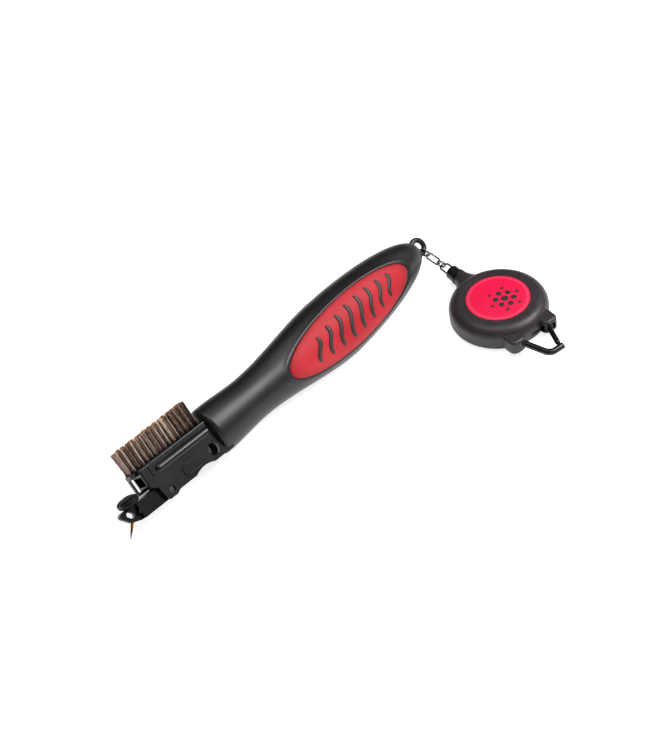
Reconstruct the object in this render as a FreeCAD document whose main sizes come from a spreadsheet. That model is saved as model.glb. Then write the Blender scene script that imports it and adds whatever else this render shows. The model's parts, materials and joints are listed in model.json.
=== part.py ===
import FreeCAD, Part
import Sketcher
import math
import os

# Club groove brush on a retracting reel.
# Row frame: the origin is the centre of the reel's flat back, +Z is up, +X runs along the brush
# towards its tail eye, and the brush lies behind the reel (+Y) with its bristles up and back.
# Brush frame: x from the nose to the tail, y towards the bristle tips, z out of the near side.
# Head frame: the brush frame tipped nose-up by head_pitch about the neck.
# Reel frame: x out of the cord mouth, z up, origin on the back face.

Vector = FreeCAD.Vector
Rotation = FreeCAD.Rotation
Placement = FreeCAD.Placement

X_AXIS = Vector(1, 0, 0)
Y_AXIS = Vector(0, 1, 0)
Z_AXIS = Vector(0, 0, 1)
ALONG_X = Rotation(Z_AXIS, X_AXIS)
ALONG_Y = Rotation(Z_AXIS, Y_AXIS)

# How far a cutting shape reaches beyond what it cuts.
MARGIN = 5.0

document = FreeCAD.newDocument("club_groove_brush")
sheet = document.addObject("Spreadsheet::Sheet", "dims")

# Driving dimensions in millimetres and degrees.
DIMENSIONS = [
    # Handle: a spindle that is thin at the neck and fullest at the belly.
    ("neck_x", 43.0), ("waist_x", 65.0), ("belly_x", 111.0), ("grip_end_x", 161.0),
    ("neck_half_height", 9.8), ("waist_half_height", 8.8), ("belly_half_height", 13.2),
    ("neck_half_depth", 7.9), ("waist_half_depth", 7.6), ("belly_half_depth", 10.4),
    ("neck_rise", 2.6), ("flare_end_x", 46.0), ("tail_reach", 51.0), ("tail_squareness", 1.8),
    ("tail_fullness", 0.42), ("core_share", 0.52), ("core_end_gap", 5.4),
    ("inlay_x", 113.9), ("inlay_y", -1.2), ("inlay_length", 68.8), ("inlay_height", 19.0),
    ("inlay_depth", 1.8), ("inlay_proud", 0.25),
    ("neck_overlap", 3.0), ("neck_rounding", 3.2),
    ("tenon_length", 14.0), ("tenon_height", 4.4), ("tenon_width", 5.6), ("tenon_y", 0.6),
    ("tenon_gap", 0.05),
    ("eye_x", 162.6), ("eye_y", 0.35), ("eye_ring_radius", 2.95), ("eye_wire_radius", 1.1),
    ("stem_radius", 2.3),
    # Brush head, in the head frame.
    ("head_pitch", 4.5), ("head_front_x", 11.3), ("head_half_width", 4.6), ("head_top_y", 8.1),
    ("front_bottom_y", 0.6), ("head_bottom_y", -6.0), ("ear_drop", 0.8), ("head_rounding", 0.6),
    ("scallop_x", 33.0), ("scallop_radius", 9.8), ("scallop_rise", 1.1),
    ("slot_half_width", 3.0), ("slot_top_y", -0.35), ("slot_end_x", 44.5),
    ("post_x", 7.9), ("post_thickness", 0.8), ("post_half_width", 0.7), ("post_foot_y", 0.0),
    ("cavity_depth", 4.4), ("cavity_bottom_y", 1.7), ("cavity_height", 3.8), ("cavity_half_width", 3.3),
    ("rib_front_x", 18.6), ("rib_end_x", 41.0), ("rib_y", 4.3), ("rib_radius", 1.9),
    ("rib_proud", 1.1), ("clip_x", 15.0), ("clip_y", 3.2), ("clip_height", 4.0), ("clip_length", 0.7),
    ("tip_port_x", 39.5), ("tip_port_y", -2.1), ("tip_port_radius", 2.1),
    ("thumb_rim_x", 27.1), ("thumb_rim_y", -2.4), ("thumb_rim_radius", 2.1),
    ("thumb_rim_length", 5.0), ("thumb_rim_width", 0.6), ("thumb_rim_proud", 0.35),
    # Bristle carrier and tufts.
    ("carrier_front_x", 8.5), ("carrier_length", 35.0), ("carrier_width", 4.6),
    ("carrier_bottom_y", 6.4), ("carrier_height", 1.6), ("carrier_gap", 0.05), ("tuft_top_y", 17.7),
    ("tuft_radius", 0.85), ("tuft_pitch", 2.1), ("tufts_long", 16), ("tufts_wide", 2),
    ("tuft_row_pitch", 2.2), ("tuft_middle_x", 25.2), ("tuft_depth", 1.2),
    # Spike arm.
    ("pin_x", 18.1), ("pin_y", -4.3), ("pin_radius", 1.2), ("pin_half_length", 3.9),
    ("running_gap", 0.06), ("hub_radius", 2.5), ("arm_half_width", 2.7), ("washer_thickness", 0.22),
    ("arm_top_y", -0.6), ("arm_bottom_y", -6.7), ("nose_x", -2.5), ("nose_half_width", 1.2),
    ("shank_end_x", 4.6), ("eyelet_x", 1.15), ("eyelet_y", -3.0), ("eyelet_radius", 0.95),
    ("eyelet_length", 1.3), ("eyelet_tilt", 129.0), ("nose_bevel", 1.1), ("nose_tip_height", 1.0),
    ("nose_heel_x", 3.6), ("boss_x", 4.7), ("boss_y", -3.6), ("boss_proud", 0.3),
    ("pad_x", 3.4), ("pad_y", 0.9), ("pad_half_length", 3.9), ("pad_half_height", 2.0),
    ("pad_half_width", 5.0), ("pad_floor_y", -0.3), ("tongue_half_width", 1.7),
    ("tongue_half_length", 2.3), ("tongue_root", 1.0), ("tongue_rise", 0.5),
    ("spike_base_x", 0.75), ("spike_base_y", -5.4), ("spike_angle", 44.5), ("spike_length", 6.2),
    ("spike_radius", 0.75), ("spike_tip_radius", 0.08), ("spike_root", 0.5),
    ("screw_radius", 1.0), ("screw_head_radius", 1.9), ("screw_head_height", 1.0),
    ("tenon_screw_length", 5.4),
    # Chain.
    ("chain_wire_radius", 0.42), ("tail_ring_radius", 2.1), ("link_length", 6.11),
    ("link_half_width", 1.35), ("swivel_ring_radius", 1.75), ("link_gap", 0.06),
    ("bail_play", 0.3),
    ("chain_dip", 39.15), ("chain_yaw", 35.74), ("brush_roll", 48.0),
    # Cord end, in the reel frame.
    ("bail_tip_x", 34.0), ("bail_half_width", 1.9), ("barrel_front_x", 22.9), ("barrel_length", 5.6),
    ("barrel_radius", 2.9), ("barrel_bore_radius", 1.5), ("barrel_front_wall", 0.8),
    ("barrel_end_wall", 2.2),
    ("barrel_chamfer", 0.5), ("collar_proud", 0.4), ("collar_length", 1.6), ("leg_depth", 1.0),
    ("cord_radius", 0.5), ("cord_gap", 0.03), ("cord_start_x", 13.8), ("bead_radius", 1.2),
    ("bead_gap", 0.05),
    # Reel.
    ("reel_turn", 76.66), ("case_radius", 19.0), ("case_height", 9.3), ("parting_height", 3.6),
    ("case_wall", 1.5), ("corner_fill", 1.2), ("cord_height", 4.5),
    ("front_rounding", 4.4), ("back_rounding", 1.6),
    ("disc_radius", 12.2), ("disc_edge_height", 0.9), ("disc_crown", 0.7), ("disc_gap", 0.08),
    ("neck_tip_x", 22.5), ("neck_root_x", 13.0), ("neck_tip_radius", 3.3), ("neck_root_half", 11.0),
    ("neck_root_height", 3.9), ("neck_taper", 1.5),
    ("lug_end_x", -21.6), ("lug_start_x", -14.0), ("lug_inner_y", 4.4), ("lug_outer_y", 11.2),
    ("lug_height", 5.3), ("lug_rounding", 2.4), ("lug_floor", 1.6),
    ("arbor_radius", 1.8), ("spool_flange_radius", 14.0), ("spool_hub_radius", 8.6),
    ("spool_wall", 0.9), ("spool_bottom", 2.0), ("spool_height", 4.4), ("cord_pack_radius", 13.2),
    ("spring_turns", 6), ("spring_inner_radius", 2.6), ("spring_growth", 0.75),
    ("spring_strip", 0.2), ("spring_width", 2.4), ("spring_floor_gap", 0.5), ("pack_gap", 0.05),
    ("case_screw_radius", 0.8), ("case_screw_head_radius", 1.15), ("case_screw_circle", 16.2),
    ("case_screw_head_height", 0.9), ("case_screw_length", 5.6), ("case_screw_gap", 0.2),
    ("bush_radius", 2.2), ("bush_length", 3.0), ("bush_gap", 0.1),
    ("loop_wire_radius", 1.25), ("loop_root_x", -18.6), ("loop_root_y", 6.7),
    ("loop_tip_x", -32.0), ("loop_tip_half", 2.6), ("loop_height", 4.2), ("loop_seat_length", 8.0),
    ("loop_bend", 2.2), ("loop_bend_fullness", 0.3), ("hook_tail", 0.9), ("gate_tail", 0.6),
    ("gate_pin_radius", 0.7), ("gate_pin_bottom", 1.4), ("gate_pin_length", 5.0),
    ("gate_hub_radius", 1.7), ("gate_hub_half_length", 1.15), ("gate_gap", 0.25), ("gate_wire_radius", 1.05),
    ("gate_pin_x", -20.3), ("gate_pin_y", -6.7), ("gate_pocket_below", 2.0), ("gate_pocket_above", 1.3),
    ("gate_pocket_end_x", -18.3), ("gate_pocket_outer_y", 9.3), ("case_floor", 1.2),
    ("gate_spring_wire", 0.16),
    ("gate_spring_pitch", 0.35), ("gate_spring_turns", 1.5), ("gate_spring_gap", 0.1),
]
for row, (alias, value) in enumerate(DIMENSIONS, start=1):
    sheet.set(f"A{row}", alias)
    sheet.set(f"B{row}", str(value))
    sheet.setAlias(f"B{row}", alias)
document.recompute()


def dim(alias):
    return float(sheet.get(alias))


def turn(degrees, axis=Z_AXIS):
    return Rotation(axis, degrees)


# ---------------------------------------------------------------- helpers

nodes = []


def primitive(kind, name, base=Vector(), rotation=Rotation(), **sizes):
    """A Part primitive whose sizes are expressions on the sheet."""
    item = document.addObject(f"Part::{kind}", name)
    for size, formula in sizes.items():
        item.setExpression(size, formula)
    item.Placement = Placement(base, rotation)
    return item


def cut(name, base, tool):
    item = document.addObject("Part::Cut", name)
    item.Base = base
    item.Tool = tool
    return item


def fuse(name, *shapes):
    item = document.addObject("Part::MultiFuse", name)
    item.Shapes = list(shapes)
    return item


def common(name, *shapes):
    item = document.addObject("Part::MultiCommon", name)
    item.Shapes = list(shapes)
    return item


def group(name, *links):
    item = document.addObject("Part::Compound", name)
    item.Links = list(links)
    return item


def formed(name, shape):
    """A free-form shape that Part's own functions build from sheet values."""
    item = document.addObject("Part::Feature", name)
    item.Shape = shape
    return item


def publish(item, label, frame):
    """Names a finished sub-part and moves it from its own frame to the row frame."""
    item.Label = label
    item.Placement = frame.multiply(item.Placement)
    nodes.append(item)
    return item


def tube(name, length, outer, inner, base=Vector(), rotation=Rotation()):
    outside = primitive("Cylinder", name + "_outside", base, rotation, Radius=outer, Height=length)
    inside = primitive("Cylinder", name + "_inside", base, rotation, Radius=inner, Height=length)
    return cut(name, outside, inside)


def body_with_sketch(name, role):
    """An empty body and a sketch on one of its origin planes."""
    body = document.addObject("PartDesign::Body", name)
    sketch = body.newObject("Sketcher::SketchObject", name + "_sketch")
    plane = [feature for feature in body.Origin.OriginFeatures if feature.Role == role][0]
    sketch.AttachmentSupport = [(plane, "")]
    sketch.MapMode = "FlatFace"
    return body, sketch


def bind_point(sketch, edge, end, formulas):
    """Ties a point's two coordinates to expressions on the sheet."""
    for kind, axis, formula in zip(("DistanceX", "DistanceY"), (-2, -1), formulas):
        if formula == "0":
            sketch.addConstraint(Sketcher.Constraint("PointOnObject", edge, end, axis))
            continue
        index = sketch.addConstraint(Sketcher.Constraint(kind, -1, 1, edge, end, value_of(formula)))
        sketch.setExpression(f"Constraints[{index}]", formula)


def value_of(formula):
    """The number that a formula on the sheet gives."""
    result = sheet.evalExpression(formula)
    return float(getattr(result, "Value", result))


def polygon(sketch, corners):
    """A closed outline whose corners are pairs of expressions."""
    points = [Vector(value_of(across), value_of(up), 0) for across, up in corners]
    count = len(points)
    for index in range(count):
        sketch.addGeometry(Part.LineSegment(points[index], points[(index + 1) % count]), False)
    for index in range(count):
        sketch.addConstraint(
            Sketcher.Constraint("Coincident", index, 2, (index + 1) % count, 1))
    for index, corner in enumerate(corners):
        bind_point(sketch, index, 1, corner)


def revolved(name, corners):
    """A body turned about its z axis from an outline of (radius, height) pairs."""
    body, sketch = body_with_sketch(name, "XZ_Plane")
    polygon(sketch, corners)
    turned = body.newObject("PartDesign::Revolution", name + "_turned")
    turned.Profile = sketch
    turned.ReferenceAxis = (sketch, ["V_Axis"])
    turned.Angle = 360
    document.recompute()
    return body


def round_edges(body, name, radius, wanted):
    """Fillets the edges of a body that the test picks."""
    base = body.Tip
    names = [f"Edge{index}" for index, edge in enumerate(base.Shape.Edges, start=1) if wanted(edge)]
    fillet = body.newObject("PartDesign::Fillet", name)
    fillet.Base = (base, names)
    fillet.setExpression("Radius", radius)
    body.Tip = fillet
    document.recompute()
    return fillet


def ring_edge(radius, height):
    """A test that picks the circle of this radius at this height."""
    def wanted(edge):
        curve = edge.Curve
        return (isinstance(curve, Part.Circle) and abs(curve.Radius - radius) < 0.01
                and abs(curve.Center.z - height) < 0.01)
    return wanted


def screw(name, shank, head, head_height, length):
    """A countersunk screw along z, with its flat head at the top, at z = 0, and a cross recess."""
    body = revolved(name + "_blank", [
        ("0", f"-{length}"), (shank, f"-{length}"), (shank, f"-{head_height}"),
        (head, "0"), ("0", "0")])
    slots = [primitive("Box", f"{name}_slot_{way}", Vector(), Rotation(),
                       Length=f"1.3 * {head}", Width=f"0.28 * {head}", Height=f"0.5 * {head_height}")
             for way in ("along", "across")]
    half_length = 0.65 * value_of(head)
    half_width = 0.14 * value_of(head)
    depth = 0.5 * value_of(head_height)
    slots[0].Placement = Placement(Vector(-half_length, -half_width, -depth), Rotation())
    slots[1].Placement = Placement(Vector(half_width, -half_length, -depth), turn(90))
    return cut(name, body, fuse(name + "_cross", *slots))


def wire_link(name, path, radius):
    """A round wire bent along a closed or open path of edges."""
    wire = Part.Wire(path)
    start = wire.OrderedEdges[0]
    point = start.valueAt(start.FirstParameter)
    section = Part.Wire(Part.Circle(point, start.tangentAt(start.FirstParameter), radius).toShape())
    return formed(name, wire.makePipeShell([section], True, False, 2))


# ---------------------------------------------------------------- frames

def reel_frame():
    return Placement(Vector(), turn(dim("reel_turn")))


def chain_direction():
    """From the tail eye down to the cord end, in the row frame."""
    heading = math.radians(dim("reel_turn") + dim("chain_yaw"))
    dip = math.radians(dim("chain_dip"))
    return Vector(-math.cos(heading) * math.cos(dip), -math.sin(heading) * math.cos(dip),
                  -math.sin(dip))


def wrap_pitch(outer_wire, inner_wire):
    """How far two linked wires' centres overlap along the chain."""
    return dim(outer_wire) + dim(inner_wire) + dim("link_gap")


# Distances along the chain, from the centre of the eye's wire.
ring_centre = dim("tail_ring_radius") - wrap_pitch("eye_wire_radius", "chain_wire_radius")
ring_far = ring_centre + dim("tail_ring_radius")
link_near = ring_far - wrap_pitch("chain_wire_radius", "chain_wire_radius")
link_far = link_near + dim("link_length")
swivel_near = link_far - wrap_pitch("chain_wire_radius", "chain_wire_radius")
swivel_far = swivel_near + 2 * dim("swivel_ring_radius")
bail_near = swivel_far - wrap_pitch("chain_wire_radius", "chain_wire_radius") - dim("bail_play")

bail_tip = reel_frame().multVec(Vector(dim("bail_tip_x"), 0, dim("cord_height")))
eye_wrap = bail_tip - chain_direction() * bail_near


def eye_wrap_angle():
    """Where on the eye the ring hangs: the eye's wire is square to the chain there."""
    chain = chain_direction()
    roll = math.radians(dim("brush_roll"))
    flat = chain.y * math.cos(roll) + chain.z * math.sin(roll)
    return math.atan2(flat, chain.x)


def eye_centre():
    return Vector(dim("eye_x"), dim("eye_y"), 0)


def brush_frame():
    """The rolled brush, set so that the chain hangs from its eye."""
    roll = turn(dim("brush_roll"), X_AXIS)
    angle = eye_wrap_angle()
    ring = dim("eye_ring_radius")
    wrap = eye_centre() + Vector(ring * math.cos(angle), ring * math.sin(angle), 0)
    return Placement(eye_wrap - roll.multVec(wrap), roll)


def head_pitch():
    """From the head frame to the brush frame."""
    return Placement(Vector(), turn(-dim("head_pitch")), Vector(dim("neck_x"), dim("neck_rise"), 0))


def chain_frame(distance, quarter_turn):
    """x along the chain, z square to it: the flat way of every second link is turned by 90."""
    chain = chain_direction()
    roll = turn(dim("brush_roll"), X_AXIS)
    angle = eye_wrap_angle()
    along_eye = roll.multVec(Vector(-math.sin(angle), math.cos(angle), 0))
    side = along_eye.cross(chain)
    twist = Rotation(chain, side if quarter_turn else along_eye, chain.cross(
        side if quarter_turn else along_eye), "XYZ")
    return Placement(eye_wrap + chain * distance, twist)


BRUSH = brush_frame()
PITCH = head_pitch()
HEAD = BRUSH.multiply(PITCH)
REEL = reel_frame()


# ---------------------------------------------------------------- handle

def grip_station(x):
    """Half height, half depth and centre height of the grip at a place along it."""
    if x < dim("waist_x"):
        share = min(1.0, (dim("waist_x") - x) / (dim("waist_x") - dim("flare_end_x")))
        share = share * share * (3 - 2 * share)
        height = dim("waist_half_height") + share * (dim("neck_half_height") - dim("waist_half_height"))
        depth = dim("waist_half_depth") + share * (dim("neck_half_depth") - dim("waist_half_depth"))
    elif x < dim("belly_x"):
        share = (x - dim("waist_x")) / (dim("belly_x") - dim("waist_x"))
        share = share * share * (3 - 2 * share)
        height = dim("waist_half_height") + share * (dim("belly_half_height") - dim("waist_half_height"))
        depth = dim("waist_half_depth") + share * (dim("belly_half_depth") - dim("waist_half_depth"))
    else:
        along = (x - dim("belly_x")) / dim("tail_reach")
        share = (1 - along ** dim("tail_squareness")) ** dim("tail_fullness")
        height = share * dim("belly_half_height")
        depth = share * dim("belly_half_depth")
    fall = max(0.0, (dim("belly_x") - x) / (dim("belly_x") - dim("neck_x")))
    lip = max(0.0, dim("neck_x") + dim("neck_overlap") - x) / dim("neck_rounding")
    lip_share = math.sqrt(1 - lip * lip)
    return lip_share * height, lip_share * depth, dim("neck_rise") * fall


def grip_section(x, inset, share):
    height, depth, centre = grip_station(x)
    oval = Part.Ellipse(Vector(x, centre + share * height - inset, 0),
                        Vector(x, centre, share * depth - inset), Vector(x, centre, 0))
    return Part.Wire(oval.toShape())


def spindle(start, end, inset=0.0, share=1.0):
    """A solid through oval sections, closer together where the two ends round off."""
    count = 19
    places = [start + (end - start) * (1 - math.cos(math.pi * step / (count - 1))) / 2
              for step in range(count)]
    return Part.makeLoft([grip_section(x, inset, share) for x in places], True, False)


def inlay_prism(side):
    """The upright oval column that bounds an inlay on one side of the grip."""
    oval = Part.Ellipse(Vector(dim("inlay_x"), dim("inlay_y"), 0), dim("inlay_length") / 2,
                        dim("inlay_height") / 2)
    reach = Vector(0, 0, side * 2 * dim("belly_half_depth"))
    return Part.Face(Part.Wire(oval.toShape())).extrude(reach)


def head_outline():
    """The head seen from the side, with an ear round the hinge pin."""
    back = "dims.neck_x + dims.neck_overlap + 1"
    return [
        ("dims.head_front_x", "dims.front_bottom_y"),
        ("dims.pin_x - 1.6 * dims.hub_radius", "dims.front_bottom_y - 1.4"),
        ("dims.pin_x - 1.4 * dims.hub_radius", "dims.pin_y - 0.3 * dims.hub_radius"),
        ("dims.pin_x - 1.1 * dims.hub_radius", "dims.head_bottom_y - dims.ear_drop"),
        ("dims.pin_x + 0.3 * dims.hub_radius", "dims.head_bottom_y - dims.ear_drop"),
        ("dims.pin_x + 0.9 * dims.hub_radius", "dims.head_bottom_y"),
        (back, "dims.head_bottom_y"),
        (back, "dims.head_top_y"),
        ("dims.head_front_x", "dims.head_top_y"),
    ]


def head_blank(name, growth):
    """The head's outer block, alone or grown a little to clear its seat in the sleeve."""
    body, sketch = body_with_sketch(name, "XY_Plane")
    polygon(sketch, head_outline())
    pad = body.newObject("PartDesign::Pad", name + "_pad")
    pad.Profile = sketch
    pad.SideType = "Symmetric"
    pad.setExpression("Length", f"2 * (dims.head_half_width + {growth})")
    document.recompute()
    return body


def behind_neck(name):
    """Everything behind the plane where the head stops inside the sleeve, in the head frame."""
    size = 60
    box = primitive("Box", name, Length=str(size), Width=str(size), Height=str(size))
    corner = Placement(Vector(dim("neck_x") + dim("neck_overlap"), -size / 2, -size / 2), Rotation())
    box.Placement = PITCH.inverse().multiply(corner)
    return box


def tenon_screw_places():
    """Both tenon screws, along the head."""
    return (dim("neck_x") - 0.75 * dim("tenon_length"), dim("neck_x") - 0.25 * dim("tenon_length"))


def tenon_box(name, gap):
    base = Vector(dim("neck_x") - dim("tenon_length") - gap, dim("tenon_y") - gap,
                  -dim("tenon_width") / 2 - gap)
    return primitive("Box", name, base, Rotation(),
                     Length=f"dims.tenon_length + 2 * dims.neck_overlap + 2 * {gap}",
                     Width=f"dims.tenon_height + 2 * {gap}", Height=f"dims.tenon_width + 2 * {gap}")


def build_handle():
    start = dim("neck_x")
    end = dim("grip_end_x")
    core_start = start + dim("neck_overlap")
    outside = spindle(start, end)
    shrunk = spindle(start + dim("inlay_depth"), end - dim("inlay_depth"), dim("inlay_depth"))
    grown = spindle(start, end, -dim("inlay_proud"))

    core_blank = formed("core_blank", spindle(core_start, end - dim("core_end_gap"), 0.0,
                                              dim("core_share")))
    tenon = tenon_box("tenon", 0)
    tenon.Placement = PITCH.multiply(tenon.Placement)
    stem_start = end - 4 * dim("stem_radius")
    stem = primitive("Cylinder", "eye_stem", Vector(stem_start, dim("eye_y"), 0), ALONG_X,
                     Radius="dims.stem_radius",
                     Height="4 * dims.stem_radius + dims.eye_x - dims.grip_end_x - dims.eye_ring_radius")
    eye = primitive("Torus", "eye_ring", eye_centre(), Rotation(),
                    Radius1="dims.eye_ring_radius", Radius2="dims.eye_wire_radius")
    screw_holes = []
    for index, x in enumerate(tenon_screw_places()):
        hole = primitive("Cylinder", f"tenon_hole_{index}", Vector(x, 0, 0), ALONG_Y,
                         Radius="dims.screw_radius", Height="dims.carrier_bottom_y")
        hole.Placement = PITCH.multiply(hole.Placement)
        screw_holes.append(hole)
    core = cut("core_cut", fuse("core_solid", core_blank, tenon, stem, eye),
               fuse("tenon_holes", *screw_holes))

    head_seat = head_blank("head_seat", dim("tenon_gap"))
    document.recompute()
    filling = core_blank.Shape.fuse([tenon.Shape, stem.Shape, eye.Shape])
    head_space = head_seat.Shape.transformed(PITCH.toMatrix())
    sleeve = outside
    for side, label in ((1, "oval_inlay_near"), (-1, "oval_inlay_far")):
        column = inlay_prism(side)
        pocket = column.common(outside).cut(shrunk)
        sleeve = sleeve.cut(pocket)
        publish(formed(label + "_shape", column.common(grown).cut(shrunk)), label, BRUSH)
    sleeve = sleeve.cut(filling).cut(head_space)
    publish(formed("sleeve_shape", largest_solid(sleeve)), "grip_sleeve", BRUSH)
    publish(core, "handle_core", BRUSH)


def largest_solid(shape):
    return max(shape.Solids, key=lambda solid: solid.Volume)


# ---------------------------------------------------------------- head

def build_head():
    def upper_side_edge(edge):
        box = edge.BoundBox
        above = box.YMin > dim("front_bottom_y") - 0.01 and box.YMax > dim("front_bottom_y") + 1
        return above and box.ZLength < 0.01

    blank = head_blank("head", 0)
    round_edges(blank, "head_edges", "dims.head_rounding", upper_side_edge)

    half = dim("head_half_width")
    additions = [blank]
    for side in (1, -1):
        lift = half - dim("rib_radius") + dim("rib_proud")
        rib = primitive("Cylinder", f"rib_bar_{side}",
                        Vector(dim("rib_front_x"), dim("rib_y"), side * lift), ALONG_X,
                        Radius="dims.rib_radius", Height="dims.rib_end_x - dims.rib_front_x")
        ends = [primitive("Sphere", f"rib_end_{side}_{index}", Vector(x, dim("rib_y"), side * lift),
                          Rotation(), Radius="dims.rib_radius")
                for index, x in enumerate((dim("rib_front_x"), dim("rib_end_x")))]
        clip = primitive("Box", f"end_clip_{side}",
                         Vector(dim("clip_x"), dim("clip_y"), side * half - dim("clip_length") / 2),
                         Rotation(), Length="dims.clip_length", Width="dims.clip_height",
                         Height="dims.clip_length")
        additions += [rib, *ends, clip, thumb_rim(side)]
    additions += front_post()
    solid = fuse("head_solid", *additions)

    hollows = [behind_neck("head_back"), tenon_box("tenon_socket", dim("tenon_gap"))]
    hollows.append(primitive(
        "Box", "arm_slot", Vector(-MARGIN, dim("head_bottom_y") - MARGIN, -dim("slot_half_width")),
        Rotation(), Length=f"dims.slot_end_x + {MARGIN}",
        Width=f"dims.slot_top_y - dims.head_bottom_y + {MARGIN}", Height="2 * dims.slot_half_width"))
    hollows.append(primitive(
        "Box", "cavity", Vector(dim("head_front_x") - dim("head_rounding"), dim("cavity_bottom_y"),
                                -dim("cavity_half_width")), Rotation(),
        Length="dims.cavity_depth + dims.head_rounding", Width="dims.cavity_height",
        Height="2 * dims.cavity_half_width"))
    gap = dim("carrier_gap")
    hollows.append(primitive(
        "Box", "carrier_seat", Vector(dim("carrier_front_x") - gap, dim("carrier_bottom_y"),
                                      -dim("carrier_width") / 2 - gap), Rotation(),
        Length="dims.carrier_length + 2 * dims.carrier_gap", Width=f"dims.carrier_height + {MARGIN}",
        Height="dims.carrier_width + 2 * dims.carrier_gap"))
    through = f"2 * dims.head_half_width + {2 * MARGIN}"
    far_side = -half - MARGIN
    hollows.append(primitive("Cylinder", "pin_bore", Vector(dim("pin_x"), dim("pin_y"), far_side),
                             Rotation(), Radius="dims.pin_radius", Height=through))
    hollows.append(primitive("Ellipsoid", "tip_port", Vector(dim("tip_port_x"), dim("tip_port_y"), 0),
                             Rotation(), Radius1="2 * dims.head_half_width",
                             Radius2="1.15 * dims.tip_port_radius",
                             Radius3="1.35 * dims.tip_port_radius"))
    hollows.append(primitive(
        "Cylinder", "finger_scallop",
        Vector(dim("scallop_x"), dim("head_bottom_y") - dim("scallop_radius") + dim("scallop_rise"),
               far_side), Rotation(), Radius="dims.scallop_radius", Height=through))
    for index, x in enumerate(tenon_screw_places()):
        hollows.append(primitive("Cylinder", f"head_screw_hole_{index}", Vector(x, dim("tenon_y"), 0),
                                 ALONG_Y, Radius="dims.screw_radius", Height="dims.head_top_y"))
        hollows.append(primitive(
            "Cylinder", f"head_screw_sink_{index}",
            Vector(x, dim("carrier_bottom_y") - dim("screw_head_height"), 0), ALONG_Y,
            Radius="dims.screw_head_radius + dims.carrier_gap",
            Height=f"dims.screw_head_height + {MARGIN}"))
    publish(cut("head_cut", solid, fuse("head_hollows", *hollows)), "head_body", HEAD)
    build_tenon_screws()


def front_post():
    """The thin post under the carrier's front end, and its foot back to the head."""
    half = dim("post_half_width")
    corner = Vector(dim("post_x"), dim("post_foot_y"), -half)
    post = primitive("Box", "post", corner, Rotation(), Length="dims.post_thickness",
                     Width="dims.carrier_bottom_y - dims.post_foot_y", Height="2 * dims.post_half_width")
    foot = primitive("Box", "post_foot", corner, Rotation(),
                     Length="dims.head_front_x - dims.post_x + 1", Width="dims.front_bottom_y + 0.6",
                     Height="2 * dims.post_half_width")
    return [post, foot]


def thumb_rim(side):
    """The raised U round the thumb's way to the folded arm, open towards the neck."""
    outer = dim("thumb_rim_radius")
    inner = outer - dim("thumb_rim_width")
    centre = Vector(dim("thumb_rim_x"), dim("thumb_rim_y"), 0)
    height = dim("thumb_rim_proud")
    plates = []
    for radius in (outer, inner):
        disc = Part.makeCylinder(radius, height, centre)
        bar = Part.makeBox(dim("thumb_rim_length"), 2 * radius, height, centre - Vector(0, radius, 0))
        plates.append(disc.fuse(bar))
    rim = plates[0].cut(plates[1])
    rim.translate(Vector(0, 0, dim("head_half_width") if side > 0 else -dim("head_half_width") - height))
    return formed(f"thumb_rim_{side}", rim)


def build_tenon_screws():
    screws = []
    for index, x in enumerate(tenon_screw_places()):
        item = screw(f"tenon_screw_{index}", "dims.screw_radius", "dims.screw_head_radius",
                     "dims.screw_head_height", "dims.tenon_screw_length")
        item.Placement = Placement(Vector(x, dim("carrier_bottom_y"), 0), ALONG_Y)
        screws.append(item)
    publish(group("tenon_screw_pair", *screws), "tenon_screws", HEAD)


def tuft_places():
    """The foot of every tuft on the carrier."""
    rows = int(dim("tufts_wide"))
    count = int(dim("tufts_long"))
    for row in range(rows):
        for index in range(count):
            yield (dim("tuft_middle_x") + (index - (count - 1) / 2) * dim("tuft_pitch"),
                   (row - (rows - 1) / 2) * dim("tuft_row_pitch"))


def build_carrier():
    top = dim("carrier_bottom_y") + dim("carrier_height")
    foot = top - dim("tuft_depth")
    plate = primitive("Box", "carrier_plate",
                      Vector(dim("carrier_front_x"), dim("carrier_bottom_y"), -dim("carrier_width") / 2),
                      Rotation(), Length="dims.carrier_length", Width="dims.carrier_height",
                      Height="dims.carrier_width")
    tufts = []
    sockets = []
    for index, (x, z) in enumerate(tuft_places()):
        tufts.append(primitive("Cylinder", f"tuft_{index}", Vector(x, foot, z), ALONG_Y,
                               Radius="dims.tuft_radius",
                               Height="dims.tuft_top_y - dims.carrier_bottom_y"
                                      " - dims.carrier_height + dims.tuft_depth"))
        sockets.append(primitive("Cylinder", f"socket_{index}", Vector(x, foot, z), ALONG_Y,
                                 Radius="dims.tuft_radius", Height="dims.tuft_depth + 1"))
    publish(cut("carrier_cut", plate, group("tuft_sockets", *sockets)), "bristle_carrier", HEAD)
    publish(group("tuft_field", *tufts), "bristle_tufts", HEAD)


# ---------------------------------------------------------------- spike arm

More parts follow.
